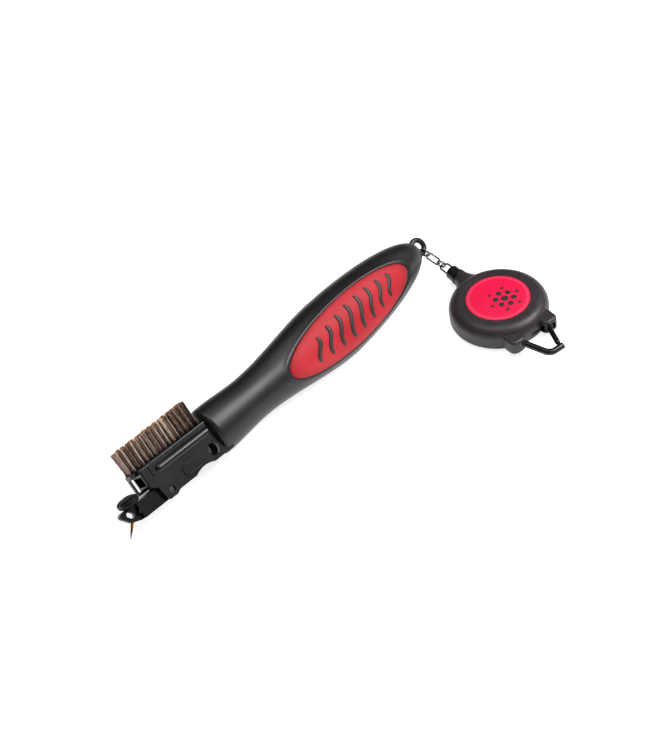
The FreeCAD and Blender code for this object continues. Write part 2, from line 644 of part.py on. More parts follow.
def build_spike_arm():
    half = dim("arm_half_width")
    pin = Vector(dim("pin_x"), dim("pin_y"), 0)
    hub = primitive("Cylinder", "arm_hub", pin - Vector(0, 0, half), Rotation(),
                    Radius="dims.hub_radius", Height="2 * dims.arm_half_width")
    shank = primitive("Box", "arm_shank", Vector(dim("shank_end_x"), dim("arm_bottom_y"), -half),
                      Rotation(), Length="dims.pin_x - dims.shank_end_x",
                      Width="dims.arm_top_y - dims.arm_bottom_y", Height="2 * dims.arm_half_width")
    nose_end = formed("arm_nose", nose_plate())
    tongue = primitive("Box", "pad_tongue",
                       Vector(dim("pad_x") - dim("tongue_half_length"),
                              dim("arm_top_y") - dim("tongue_root"), -dim("tongue_half_width")),
                       Rotation(), Length="2 * dims.tongue_half_length",
                       Width="dims.pad_y + dims.tongue_rise - dims.arm_top_y + dims.tongue_root",
                       Height="2 * dims.tongue_half_width")
    boss = primitive("Cylinder", "spike_boss",
                     Vector(dim("boss_x"), dim("boss_y"), -half - dim("boss_proud")), Rotation(),
                     Radius="dims.eyelet_radius", Height="2 * (dims.arm_half_width + dims.boss_proud)")
    solid = fuse("arm_solid", hub, shank, nose_end, tongue, boss)

    bore = primitive("Cylinder", "arm_bore", pin - Vector(0, 0, half + MARGIN), Rotation(),
                     Radius="dims.pin_radius + dims.running_gap",
                     Height=f"2 * (dims.arm_half_width + {MARGIN})")
    spike_way = Rotation(Z_AXIS, spike_direction())
    root = spike_base() - spike_direction() * dim("spike_root")
    spike_seat = primitive("Cylinder", "spike_seat", root, spike_way, Radius="dims.spike_radius",
                           Height="dims.spike_length")
    arm = cut("arm_cut", solid, fuse("arm_holes", bore, spike_seat))
    publish(arm, "spike_arm", HEAD)

    pad_blank = primitive("Ellipsoid", "pad_blank", Vector(dim("pad_x"), dim("pad_y"), 0), Rotation(),
                          Radius1="dims.pad_half_width", Radius2="dims.pad_half_length",
                          Radius3="dims.pad_half_height")
    size = 4 * dim("pad_half_width")
    under_pad = primitive("Box", "under_pad",
                          Vector(dim("pad_x") - size / 2, dim("pad_floor_y") - size, -size / 2),
                          Rotation(), Length=str(size), Width=str(size), Height=str(size))
    pad = cut("pad_cut", pad_blank, fuse("pad_hollows", under_pad, solid))
    publish(pad, "thumb_pad", HEAD)

    point = primitive("Cone", "spike_cone", spike_base(), spike_way, Radius1="dims.spike_radius",
                      Radius2="dims.spike_tip_radius", Height="dims.spike_length")
    shank_end = primitive("Cylinder", "spike_shank", root, spike_way, Radius="dims.spike_radius",
                          Height="dims.spike_root")
    publish(fuse("spike_fused", point, shank_end), "groove_spike", HEAD)

    pin_bar = primitive("Cylinder", "pin_bar", pin - Vector(0, 0, dim("pin_half_length")), Rotation(),
                        Radius="dims.pin_radius", Height="2 * dims.pin_half_length")
    publish(pin_bar, "hinge_pin", HEAD)

    washers = []
    gap = (dim("slot_half_width") - half - dim("washer_thickness")) / 2
    for side, base in (("near", half + gap), ("far", -half - gap - dim("washer_thickness"))):
        washers.append(tube(f"washer_{side}", "dims.washer_thickness", "0.9 * dims.hub_radius",
                            "dims.pin_radius + dims.running_gap", pin + Vector(0, 0, base)))
    publish(group("washer_pair", *washers), "friction_washers", HEAD)


def spike_direction():
    """Forward and down from the nose."""
    angle = math.radians(dim("spike_angle"))
    return Vector(-math.sin(angle), -math.cos(angle), 0)


def spike_base():
    return Vector(dim("spike_base_x"), dim("spike_base_y"), 0)


def nose_plate():
    """The flat nose, cut back below to the spike, with a slanted see-through eyelet."""
    top = dim("arm_top_y")
    bottom = dim("arm_bottom_y")
    front = dim("nose_x")
    bevel = dim("nose_bevel")
    end = dim("shank_end_x") + bevel
    half = dim("nose_half_width")
    spike = spike_base()
    tip_top = top - bevel / 2
    corners = [(end, bottom), (end, top), (front + bevel, top), (front, tip_top),
               (front, tip_top - dim("nose_tip_height")), (spike.x - dim("spike_radius"), spike.y),
               (dim("nose_heel_x"), bottom)]
    outline = Part.makePolygon([Vector(x, y, -half) for x, y in [*corners, corners[0]]])
    plate = Part.Face(Part.Wire(outline)).extrude(Vector(0, 0, 2 * half))
    radius = dim("eyelet_radius")
    length = dim("eyelet_length")
    eyelet = Part.makeBox(length, 2 * radius, 2 * half, Vector(-length / 2, -radius, -half))
    for side in (-1, 1):
        eyelet = eyelet.fuse(Part.makeCylinder(radius, 2 * half, Vector(side * length / 2, 0, -half)))
    eyelet.Placement = Placement(Vector(dim("eyelet_x"), dim("eyelet_y"), 0), turn(dim("eyelet_tilt")))
    return plate.cut(eyelet)


# ---------------------------------------------------------------- chain

def build_chain():
    """Two plain rings with a long link between them; the rings' seams lie clear of the contacts."""
    seam_aside = turn(90)
    ring = primitive("Torus", "tail_ring_wire", Vector(), seam_aside,
                     Radius1="dims.tail_ring_radius", Radius2="dims.chain_wire_radius")
    publish(ring, "tail_ring", chain_frame(ring_centre, True))

    half = dim("link_half_width")
    reach = dim("link_length") / 2 - half
    near_arc = Part.Arc(Vector(-reach, -half, 0), Vector(-reach - half, 0, 0), Vector(-reach, half, 0))
    far_arc = Part.Arc(Vector(reach, half, 0), Vector(reach + half, 0, 0), Vector(reach, -half, 0))
    path = [
        Part.LineSegment(Vector(-reach, half, 0), Vector(reach, half, 0)).toShape(),
        far_arc.toShape(),
        Part.LineSegment(Vector(reach, -half, 0), Vector(-reach, -half, 0)).toShape(),
        near_arc.toShape(),
    ]
    link = wire_link("long_link_wire", path, dim("chain_wire_radius"))
    publish(link, "long_link", chain_frame((link_near + link_far) / 2, False))

    swivel = primitive("Torus", "swivel_ring_wire", Vector(), seam_aside,
                       Radius1="dims.swivel_ring_radius", Radius2="dims.chain_wire_radius")
    publish(swivel, "swivel_ring", chain_frame((swivel_near + swivel_far) / 2, True))


def build_cord_end():
    half = dim("bail_half_width")
    height = dim("cord_height")
    tip = dim("bail_tip_x")
    leg_x = dim("barrel_front_x") + dim("barrel_length") - dim("leg_depth")
    path = [
        Part.LineSegment(Vector(leg_x, half, height), Vector(tip - half, half, height)).toShape(),
        Part.Arc(Vector(tip - half, half, height), Vector(tip, 0, height),
                 Vector(tip - half, -half, height)).toShape(),
        Part.LineSegment(Vector(tip - half, -half, height), Vector(leg_x, -half, height)).toShape(),
    ]
    publish(wire_link("bail_wire", path, dim("chain_wire_radius")), "wire_bail", REEL)

    inner_end = "dims.barrel_length - dims.barrel_end_wall"
    cord_hole = "dims.cord_radius + dims.cord_gap"
    collar = "dims.barrel_radius + dims.collar_proud"
    barrel = revolved("barrel_turned", [
        ("dims.barrel_bore_radius", "dims.barrel_front_wall"), ("dims.barrel_bore_radius", inner_end),
        ("0", inner_end), ("0", "dims.barrel_length"),
        ("dims.barrel_radius - dims.barrel_chamfer", "dims.barrel_length"),
        ("dims.barrel_radius", "dims.barrel_length - dims.barrel_chamfer"),
        ("dims.barrel_radius", "dims.collar_length"),
        (collar, "dims.collar_length - dims.collar_proud / 2"),
        (collar, "dims.collar_proud"), ("dims.barrel_radius", "0"),
        (cord_hole, "0"), (cord_hole, "dims.barrel_front_wall")])
    barrel.Placement = Placement(Vector(dim("barrel_front_x"), 0, height), ALONG_X)
    leg_holes = [primitive("Cylinder", f"leg_hole_{side}", Vector(leg_x, side * half, height), ALONG_X,
                           Radius="dims.chain_wire_radius", Height=f"dims.leg_depth + {MARGIN}")
                 for side in (-1, 1)]
    publish(cut("barrel_cut", barrel, fuse("leg_holes", *leg_holes)), "cord_barrel", REEL)

    bead_x = (dim("barrel_front_x") + dim("barrel_front_wall") + dim("bead_gap") + dim("bead_radius"))
    bead = primitive("Sphere", "bead_ball", Vector(bead_x, 0, height), Rotation(),
                     Radius="dims.bead_radius")
    publish(cut("bead_cut", bead, cord_run("bead_hole", bead_x)), "crimp_bead", REEL)
    publish(cord_run("cord_straight", bead_x), "pull_cord", REEL)


def cord_run(name, end):
    """The straight cord between the wound pack and the bead's centre."""
    return primitive("Cylinder", name, Vector(dim("cord_start_x"), 0, dim("cord_height")), ALONG_X,
                     Radius="dims.cord_radius", Height=f"{end} - dims.cord_start_x")


# ---------------------------------------------------------------- reel

def reel_box(name, low, high):
    """A box big enough to take the whole reel between two heights."""
    size = 90
    return primitive("Box", name, Vector(-size / 2, -size / 2, low), Rotation(), Length=str(size),
                     Width=str(size), Height=str(high - low))


def appendages(name):
    """The flared cord neck and both lugs, outside the round chamber."""
    lugs = [formed(f"{name}_lug_{side}", lug(side)) for side in (1, -1)]
    chamber = primitive("Cylinder", name + "_chamber", Vector(0, 0, -MARGIN), Rotation(),
                        Radius="dims.case_radius - dims.case_wall",
                        Height=f"dims.case_height + {2 * MARGIN}")
    return cut(name, fuse(name + "_solid", formed(name + "_neck", cord_neck()), *lugs), chamber)


def cord_neck():
    """A neck that narrows from a wide oval inside the case to the round mouth."""
    places = (0.0, 0.35, 0.7, 1.0)
    sections = []
    for share in places:
        narrow = 1 - (1 - share) ** dim("neck_taper")
        half = dim("neck_root_half") + narrow * (dim("neck_tip_radius") - dim("neck_root_half"))
        height = dim("neck_root_height") + share * (dim("neck_tip_radius") - dim("neck_root_height"))
        x = dim("neck_root_x") + share * (dim("neck_tip_x") - dim("neck_root_x"))
        centre = Vector(x, 0, dim("cord_height"))
        if share < 1:
            oval = Part.Ellipse(centre + Vector(0, half, 0), centre + Vector(0, 0, height), centre)
        else:
            oval = Part.Circle(centre, X_AXIS, height)
            oval.rotate(Placement(centre, turn(90, X_AXIS), Vector()))
        sections.append(Part.Wire(oval.toShape()))
    return Part.makeLoft(sections, True, False)


def lug(side):
    """A block with rounded corners that carries one end of the clip loop."""
    length = dim("lug_start_x") - dim("lug_end_x")
    width = dim("lug_outer_y") - dim("lug_inner_y")
    start = dim("lug_inner_y") if side > 0 else -dim("lug_outer_y")
    block = Part.makeBox(length, width, dim("lug_height"),
                         Vector(dim("lug_end_x"), start, dim("lug_floor")))
    outer = [edge for edge in block.Edges
             if edge.BoundBox.XMax < dim("lug_end_x") + 0.01 and edge.BoundBox.ZLength > 1]
    block = block.makeFillet(dim("lug_rounding"), outer)
    top = dim("lug_floor") + dim("lug_height")
    rim = [edge for edge in block.Edges if edge.BoundBox.ZMin > top - 0.01]
    return block.makeFillet(dim("lug_rounding") / 2, rim)


def case_hollows(name):
    """Everything that passes through both covers: cord, bush, loop, gate and screws."""
    height = dim("cord_height")
    loop_height = dim("loop_height")
    hollows = [
        primitive("Cylinder", name + "_cord_bore", Vector(dim("cord_start_x"), 0, height), ALONG_X,
                  Radius="2 * dims.cord_radius", Height="dims.neck_tip_x - dims.cord_start_x"),
        primitive("Cylinder", name + "_bush_seat",
                  Vector(dim("neck_tip_x") - dim("bush_length"), 0, height), ALONG_X,
                  Radius="dims.bush_radius", Height=f"dims.bush_length + {MARGIN}"),
        primitive("Cylinder", name + "_loop_seat", hook_line()[0], Rotation(Z_AXIS, hook_line()[1]),
                  Radius="dims.loop_wire_radius", Height="dims.loop_seat_length"),
        gate_pin_bar(name + "_gate_pin_bore"),
        primitive("Box", name + "_gate_pocket",
                  Vector(dim("lug_end_x") - MARGIN, -dim("gate_pocket_outer_y"),
                         loop_height - dim("gate_pocket_below")), Rotation(),
                  Length=f"dims.gate_pocket_end_x - dims.lug_end_x + {MARGIN}",
                  Width="dims.gate_pocket_outer_y",
                  Height="dims.gate_pocket_below + dims.gate_pocket_above"),
    ]
    for index, (x, y) in enumerate(case_screw_places()):
        hollows.append(primitive("Cylinder", f"{name}_screw_bore_{index}", Vector(x, y, -MARGIN),
                                 Rotation(), Radius="dims.case_screw_radius",
                                 Height=f"dims.case_screw_length + dims.case_screw_gap + {MARGIN}"))
        hollows.append(primitive("Cone", f"{name}_screw_sink_{index}", Vector(x, y, 0), Rotation(),
                                 Radius1="dims.case_screw_head_radius", Radius2="dims.case_screw_radius",
                                 Height="dims.case_screw_head_height"))
    return fuse(name, *hollows)


def case_screw_places():
    """Three screws round the rim, clear of the cord neck and of the lugs."""
    circle = dim("case_screw_circle")
    for angle in (70, 180, 290):
        yield circle * math.cos(math.radians(angle)), circle * math.sin(math.radians(angle))


def screw_bosses(name, low, high):
    return [primitive("Cylinder", f"{name}_{index}", Vector(x, y, low), Rotation(),
                      Radius="2 * dims.case_screw_radius", Height=str(high - low))
            for index, (x, y) in enumerate(case_screw_places())]


def build_case():
    parting = dim("parting_height")
    top = dim("case_height")
    floor = dim("case_floor")
    ceiling = top - dim("disc_edge_height") - floor

    back = revolved("back_shell", [
        ("0", "0"), ("dims.case_radius", "0"), ("dims.case_radius", "dims.parting_height"),
        ("dims.case_radius - dims.case_wall", "dims.parting_height"),
        ("dims.case_radius - dims.case_wall", "dims.case_floor"), ("0", "dims.case_floor")])
    round_edges(back, "back_rim", "dims.back_rounding", ring_edge(dim("case_radius"), 0))
    back_parts = common("back_appendages", appendages("lower_parts"), reel_box("below", -MARGIN, parting))
    back_solid = fuse("back_solid", back, back_parts, *screw_bosses("back_boss", floor / 2, parting))
    publish(cut("back_cut", back_solid, case_hollows("back_hollows")), "back_cover", REEL)

    recess = "dims.case_height - dims.disc_edge_height"
    inside = "dims.case_height - dims.disc_edge_height - dims.case_floor"
    front = revolved("front_shell", [
        ("dims.case_radius - dims.case_wall", "dims.parting_height"),
        ("dims.case_radius", "dims.parting_height"), ("dims.case_radius", "dims.case_height"),
        ("dims.disc_radius + dims.disc_gap", "dims.case_height"),
        ("dims.disc_radius + dims.disc_gap", recess), ("0", recess), ("0", inside),
        ("dims.case_radius - dims.case_wall - dims.corner_fill", inside),
        ("dims.case_radius - dims.case_wall", inside + " - dims.corner_fill")])
    round_edges(front, "front_shoulder", "dims.front_rounding", ring_edge(dim("case_radius"), top))
    front_parts = common("front_appendages", appendages("upper_parts"),
                         reel_box("above", parting, top + MARGIN))
    front_solid = fuse("front_solid", front, front_parts,
                       *screw_bosses("front_boss", parting, ceiling + floor / 2))
    publish(cut("front_cut", front_solid, case_hollows("front_hollows")), "front_cover", REEL)

    crown = dim("disc_crown")
    radius = dim("disc_radius")
    ball_radius = (radius ** 2 + crown ** 2) / (2 * crown)
    base = top - dim("disc_edge_height")
    slug = primitive("Cylinder", "disc_slug", Vector(0, 0, base), Rotation(), Radius="dims.disc_radius",
                     Height="dims.disc_edge_height + dims.disc_crown")
    ball = primitive("Sphere", "disc_ball", Vector(0, 0, top + crown - ball_radius), Rotation(),
                     Radius="(dims.disc_radius ^ 2 + dims.disc_crown ^ 2) / (2 * dims.disc_crown)")
    publish(common("disc_common", slug, ball), "domed_disc", REEL)

    screws = []
    for index, (x, y) in enumerate(case_screw_places()):
        item = screw(f"case_screw_{index}", "dims.case_screw_radius", "dims.case_screw_head_radius",
                     "dims.case_screw_head_height", "dims.case_screw_length")
        item.Placement = Placement(Vector(x, y, 0), turn(180, X_AXIS))
        screws.append(item)
    publish(group("case_screw_set", *screws), "case_screws", REEL)

    bush = tube("bush_tube", "dims.bush_length", "dims.bush_radius", "dims.cord_radius + dims.bush_gap",
                Vector(dim("neck_tip_x") - dim("bush_length"), 0, dim("cord_height")), ALONG_X)
    publish(bush, "mouth_bush", REEL)


def build_spool():
    """A cup that turns on the arbor: cord outside, mainspring inside."""
    low = "dims.spool_bottom"
    high = "dims.spool_bottom + dims.spool_height"
    spool = revolved("spool_turned", [
        ("dims.spool_hub_radius - dims.spool_wall", low), ("dims.spool_flange_radius", low),
        ("dims.spool_flange_radius", low + " + dims.spool_wall"),
        ("dims.spool_hub_radius", low + " + dims.spool_wall"),
        ("dims.spool_hub_radius", high + " - dims.spool_wall"),
        ("dims.spool_flange_radius", high + " - dims.spool_wall"), ("dims.spool_flange_radius", high),
        ("dims.arbor_radius + dims.running_gap", high),
        ("dims.arbor_radius + dims.running_gap", high + " - dims.spool_wall"),
        ("dims.spool_hub_radius - dims.spool_wall", high + " - dims.spool_wall")])
    publish(spool, "spool", REEL)

    channel = dim("spool_bottom") + dim("spool_wall") + dim("pack_gap")
    pack = tube("cord_pack", "dims.spool_height - 2 * (dims.spool_wall + dims.pack_gap)",
                "dims.cord_pack_radius", "dims.spool_hub_radius", Vector(0, 0, channel))
    publish(pack, "wound_cord", REEL)

    arbor = primitive("Cylinder", "arbor_post", Vector(0, 0, dim("case_floor")), Rotation(),
                      Radius="dims.arbor_radius",
                      Height="dims.case_height - dims.disc_edge_height - 2 * dims.case_floor")
    publish(arbor, "arbor", REEL)
    publish(formed("mainspring_strip", mainspring()), "mainspring", REEL)


def mainspring():
    """A flat strip wound in an even spiral round the arbor."""
    turns = int(dim("spring_turns"))
    steps = 12 * turns
    low = dim("spool_bottom") + dim("spring_floor_gap")
    sides = []
    for offset in (0.0, dim("spring_strip")):
        points = []
        for step in range(steps + 1):
            angle = 2 * math.pi * turns * step / steps
            radius = dim("spring_inner_radius") + offset + dim("spring_growth") * turns * step / steps
            points.append(Vector(radius * math.cos(angle), radius * math.sin(angle), low))
        curve = Part.BSplineCurve()
        curve.interpolate(points)
        sides.append(curve)
    starts = [curve.value(curve.FirstParameter) for curve in sides]
    ends = [curve.value(curve.LastParameter) for curve in sides]
    outline = Part.Wire([sides[0].toShape(), Part.LineSegment(ends[0], ends[1]).toShape(),
                         sides[1].toShape(), Part.LineSegment(starts[1], starts[0]).toShape()])
    return Part.Face(outline).extrude(Vector(0, 0, dim("spring_width")))


def hook_line():
    """Where the hook's wire starts in its lug, and which way it runs."""
    root = Vector(dim("loop_root_x"), dim("loop_root_y"), dim("loop_height"))
    slope = Vector(dim("loop_tip_x"), dim("loop_tip_half"), dim("loop_height")) - root
    slope.normalize()
    return root, slope


def build_clip_loop():
    height = dim("loop_height")
    root, slope = hook_line()
    tip_x = dim("loop_tip_x")
    half = dim("loop_tip_half")
    bend = dim("loop_bend")
    corner = Vector(tip_x, half, height)
    before = corner - slope * bend
    after = corner - Vector(0, bend, 0)
    middle = corner + (before + after - corner * 2) * dim("loop_bend_fullness")
    end = Vector(tip_x, -half - dim("hook_tail"), height)
    path = [Part.LineSegment(root, before).toShape(), Part.Arc(before, middle, after).toShape(),
            Part.LineSegment(after, end).toShape()]
    publish(wire_link("hook_wire", path, dim("loop_wire_radius")), "clip_hook", REEL)

    pin = Vector(dim("gate_pin_x"), dim("gate_pin_y"), height)
    reach = Vector(tip_x + dim("loop_wire_radius") + dim("gate_wire_radius") + dim("gate_gap"),
                   -half - dim("gate_tail"), height) - pin
    hub_half = dim("gate_hub_half_length")
    hub = primitive("Cylinder", "gate_hub", pin - Vector(0, 0, hub_half), Rotation(),
                    Radius="dims.gate_hub_radius", Height="2 * dims.gate_hub_half_length")
    bar = primitive("Cylinder", "gate_bar", pin, Rotation(Z_AXIS, reach),
                    Radius="dims.gate_wire_radius", Height=str(reach.Length))
    end_ball = primitive("Sphere", "gate_end", pin + reach, Rotation(), Radius="dims.gate_wire_radius")
    bore = primitive("Cylinder", "gate_bore", pin - Vector(0, 0, hub_half + MARGIN), Rotation(),
                     Radius="dims.gate_pin_radius + dims.running_gap",
                     Height=f"2 * (dims.gate_hub_half_length + {MARGIN})")
    publish(cut("gate_cut", fuse("gate_solid", hub, bar, end_ball), bore), "clip_gate", REEL)
    publish(gate_pin_bar("gate_pin_bar"), "gate_pin", REEL)
    publish(formed("gate_spring_coil", gate_spring(pin)), "gate_spring", REEL)


def gate_pin_bar(name):
    return primitive("Cylinder", name,
                     Vector(dim("gate_pin_x"), dim("gate_pin_y"), dim("gate_pin_bottom")), Rotation(),
                     Radius="dims.gate_pin_radius", Height="dims.gate_pin_length")


def gate_spring(pin):
    """A short coil round the gate's pin, on the floor of the pocket."""
    wire = dim("gate_spring_wire")
    pitch = dim("gate_spring_pitch")
    coil_radius = dim("gate_pin_radius") + 2 * wire + dim("gate_spring_gap")
    helix = Part.makeHelix(pitch, pitch * dim("gate_spring_turns"), coil_radius)
    circle = Part.Wire(Part.Circle(Vector(coil_radius, 0, 0), Y_AXIS, wire).toShape())
    coil = Part.Wire(helix.Edges).makePipeShell([circle], True, True)
    floor = pin.z - dim("gate_pocket_below")
    coil.translate(Vector(pin.x, pin.y, floor + wire + dim("gate_spring_gap") / 2))
    return coil


# ---------------------------------------------------------------- build, check and write

def check_objects():
    document.recompute()
    for item in document.Objects:
        if "Invalid" in item.State or "Error" in item.State:
            raise RuntimeError(f"{item.Name} did not rebuild: {item.State} {item.getStatusString()}")
    for item in nodes:
        if item.Shape.isNull() or not item.Shape.isValid() or not item.Shape.Solids:
            raise RuntimeError(f"{item.Label} has no valid solid")


def write_nodes():
    os.makedirs("parts", exist_ok=True)
    for item in nodes:
        item.Shape.exportStep(f"parts/{item.Label}.step")


build_handle()
build_head()
build_carrier()
build_spike_arm()
build_chain()
build_cord_end()
build_case()
build_spool()
build_clip_loop()
check_objects()
write_nodes()
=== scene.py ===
"""A club groove brush on a retracting reel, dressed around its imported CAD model.

Row frame: the origin is the centre of the reel's flat back, +Z is up and +X runs along the brush.
Sizes below are millimetres in three local frames, and every mesh is written out in metres:
  brush  x from the nose to the tail, y towards the bristle tips, z out of the near side
  head   the brush frame tipped nose-up about the neck
  reel   x out of the cord mouth, z up, origin on the back face
"""

import json
import math
import random

import bpy
from mathutils import Matrix, Vector


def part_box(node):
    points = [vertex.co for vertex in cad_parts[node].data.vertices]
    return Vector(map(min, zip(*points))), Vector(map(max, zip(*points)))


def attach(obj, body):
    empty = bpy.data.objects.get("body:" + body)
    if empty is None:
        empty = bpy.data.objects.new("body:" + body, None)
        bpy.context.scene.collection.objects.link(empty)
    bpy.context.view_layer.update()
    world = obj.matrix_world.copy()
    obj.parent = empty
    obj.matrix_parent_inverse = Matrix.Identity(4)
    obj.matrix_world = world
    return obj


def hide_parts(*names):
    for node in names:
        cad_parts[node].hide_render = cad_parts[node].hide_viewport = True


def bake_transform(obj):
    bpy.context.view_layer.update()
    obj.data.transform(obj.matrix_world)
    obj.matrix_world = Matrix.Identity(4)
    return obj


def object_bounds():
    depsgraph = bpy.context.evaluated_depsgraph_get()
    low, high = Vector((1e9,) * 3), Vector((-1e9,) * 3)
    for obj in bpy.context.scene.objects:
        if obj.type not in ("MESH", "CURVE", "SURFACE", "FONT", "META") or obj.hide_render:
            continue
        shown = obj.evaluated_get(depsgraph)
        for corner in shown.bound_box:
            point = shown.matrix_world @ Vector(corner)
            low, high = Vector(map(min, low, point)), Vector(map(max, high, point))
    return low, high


MM = 0.001
TAU = 2 * math.pi

# Where the local frames stand in the row frame.
BRUSH_ORIGIN = Vector((-158.36, 41.35, 12.16))
BRUSH_ROLL = math.radians(48.0)
HEAD_PITCH = math.radians(4.5)
NECK = Vector((43.0, 2.6, 0.0))
REEL_TURN = math.radians(76.66)

# Grip: a spindle, thin at the waist and fullest at the belly.
NECK_X = 43.0
FLARE_END_X = 46.0
WAIST_X = 65.0
BELLY_X = 111.0
GRIP_END_X = 161.0
HALF_HEIGHT = {"neck": 9.8, "waist": 8.8, "belly": 13.2}
HALF_DEPTH = {"neck": 7.9, "waist": 7.6, "belly": 10.4}
TAIL_REACH = 51.0
TAIL_SQUARENESS = 1.8
TAIL_FULLNESS = 0.42
LIP = 1.6
GRIP_SIDES = 320
GRIP_ROWS = 420

# Oval inlays, one on each side of the grip.
INLAY_X = 113.9
INLAY_Y = -1.0
INLAY_HALF_LENGTH = 34.4
INLAY_HALF_HEIGHT = 9.75
INLAY_PROUD = 0.18
SEAT_DEPTH = 0.75
SEAT_EDGE = 0.955
SEAT_SLOPE = 0.05
SEAM_LIP = 0.14
TREAD_START_X = 95.0
TREAD_LENGTH = 41.0
TREAD_BARS = 8
TREAD_REACH = 4.2
TREAD_REACH_GAIN = 2.2
TREAD_RADIUS = 0.95
TREAD_FLATNESS = 0.40

# Bristles, in the head frame.
TUFT_MIDDLE_X = 25.2
TUFT_PITCH = 2.1
TUFT_ROW_PITCH = 2.2
TUFTS_LONG = 16
TUFTS_WIDE = 2
TUFT_BASE_Y = 8.0
TUFT_TOP_Y = 17.7
TUFT_RADIUS = 0.66
TUFT_FLARE = 0.20
WIRES = 70
WIRE_RADIUS = 0.085
WIRE_RINGS = 14
WIRE_SIDES = 4

# Thumb pad, in the head frame.
PAD_CENTRE = Vector((3.4, 0.9, 0.0))
PAD_HALF = Vector((3.9, 2.0, 5.0))
PAD_FLOOR_Y = -0.3
PAD_SQUARENESS = 0.82
STUD_PITCH = 1.7
STUD_HEIGHT = 0.22
STUD_SINK = 0.14

# Cord and disc, in the reel frame.
CORD_HEIGHT = 4.5
CORD_RADIUS = 0.48
CORD_START_X = 13.8
CORD_END_X = 24.9
BRAID_PITCH = 1.1
DISC_RADIUS = 12.2
DISC_CROWN = 0.7
CASE_HEIGHT = 9.3
DIMPLE_CENTRE = (-2.6, -1.2)
DIMPLE_HEIGHT = 0.09

# Stage and camera, in metres, radians and light strengths.
LOOK_AT = Vector((-0.06073, 0.03690, 0.0))
FLOOR_GLOW = 0.80
ROOM_FRONT = 0.16
ROOM_BACK = 0.02
FLOOR_HALF = 3.0
FLOOR_GAP = 0.0002
CAMERA_DISTANCE = 0.600
CAMERA_AZIMUTH = math.radians(-131.34)
CAMERA_ELEVATION = math.radians(44.8)
CAMERA_ROLL = math.radians(-11.7)
CAMERA_LENS = 88.2

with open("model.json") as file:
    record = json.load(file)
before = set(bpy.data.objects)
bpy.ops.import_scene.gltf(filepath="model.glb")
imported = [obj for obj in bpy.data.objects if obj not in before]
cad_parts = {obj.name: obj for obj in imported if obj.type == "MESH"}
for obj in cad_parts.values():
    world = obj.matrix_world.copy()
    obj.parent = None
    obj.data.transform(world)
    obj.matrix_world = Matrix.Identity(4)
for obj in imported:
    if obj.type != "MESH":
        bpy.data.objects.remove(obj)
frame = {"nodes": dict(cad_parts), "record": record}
cad_low, cad_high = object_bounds()
nodes = frame["nodes"]


def turned(axis, angle):
    return Matrix.Rotation(angle, 4, axis)


def brush_frame():
    return Matrix.Translation(BRUSH_ORIGIN) @ turned("X", BRUSH_ROLL)


def head_frame():
    pitch = Matrix.Translation(NECK) @ turned("Z", -HEAD_PITCH) @ Matrix.Translation(-NECK)
    return brush_frame() @ pitch


BRUSH = brush_frame()
HEAD = head_frame()
REEL = turned("Z", REEL_TURN)


# ---------------------------------------------------------------- materials

class Nodes:
    """A short way to write a node tree: every call makes one node and returns its output."""

    def __init__(self, name):
        self.material = bpy.data.materials.new(name)
        self.material.use_nodes = True
        self.tree = self.material.node_tree
        self.surface = self.tree.nodes["Principled BSDF"]
        coordinates = self.tree.nodes.new("ShaderNodeTexCoord")
        self.place = coordinates.outputs["Object"]

    def link(self, source, target):
        if hasattr(source, "is_output"):
            self.tree.links.new(source, target)
        else:
            target.default_value = source

    def make(self, kind, output, settings=None, **inputs):
        node = self.tree.nodes.new(kind)
        for name, value in (settings or {}).items():
            setattr(node, name, value)
        for name, value in inputs.items():
            self.link(value, node.inputs[name.replace("_", " ")])
        return node.outputs[output]

    def noise(self, scale, detail=3.0, roughness=0.6):
        return self.make("ShaderNodeTexNoise", "Fac", Vector=self.place, Scale=scale,
                         Detail=detail, Roughness=roughness)

    def cells(self, scale):
        return self.make("ShaderNodeTexVoronoi", "Distance", Vector=self.place, Scale=scale)

    def attribute(self, name):
        """A value that the mesh carries per point."""
        return self.make("ShaderNodeAttribute", "Fac", {"attribute_name": name})

    def parts(self, vector):
        """The X, Y and Z outputs of a vector."""
        node = self.tree.nodes.new("ShaderNodeSeparateXYZ")
        self.link(vector, node.inputs[0])
        return {name: node.outputs[name] for name in "XYZ"}

    def math(self, operation, first, second=0.0):
        return self.two_inputs("ShaderNodeMath", operation, first, second)

    def vector_math(self, operation, first, second=(0.0, 0.0, 0.0)):
        return self.two_inputs("ShaderNodeVectorMath", operation, first, second)

    def two_inputs(self, kind, operation, first, second):
        node = self.tree.nodes.new(kind)
        node.operation = operation
        self.link(first, node.inputs[0])
        self.link(second, node.inputs[1])
        return next(output for output in node.outputs if output.enabled)

    def ramp(self, value, stops):
        node = self.tree.nodes.new("ShaderNodeValToRGB")
        self.link(value, node.inputs["Fac"])
        elements = node.color_ramp.elements
        while len(elements) < len(stops):
            elements.new(0.5)
        for element, (place, colour) in zip(elements, stops):
            element.position = place
            element.color = (*colour, 1.0)
        return node.outputs["Color"]

    def spread(self, value, low, high):
        """The 0 to 1 value stretched to the range low to high."""
        return self.make("ShaderNodeMapRange", "Result", Value=value, To_Min=low, To_Max=high)

    def bump(self, height, distance, under=None):
        """Bump whose height is in millimetres for a texture value of one."""
        inputs = {"Height": height, "Distance": distance * MM}
        if under is not None:
            inputs["Normal"] = under
        return self.make("ShaderNodeBump", "Normal", **inputs)

    def mix(self, share, first, second):
        node = self.tree.nodes.new("ShaderNodeMix")
        node.data_type = "RGBA"
        self.link(share, node.inputs["Factor"])
        self.link(first, node.inputs[6])
        self.link(second, node.inputs[7])
        return node.outputs[2]

    def set(self, **inputs):
        for name, value in inputs.items():
            self.link(value, self.surface.inputs[name.replace("_", " ")])
        return self.material


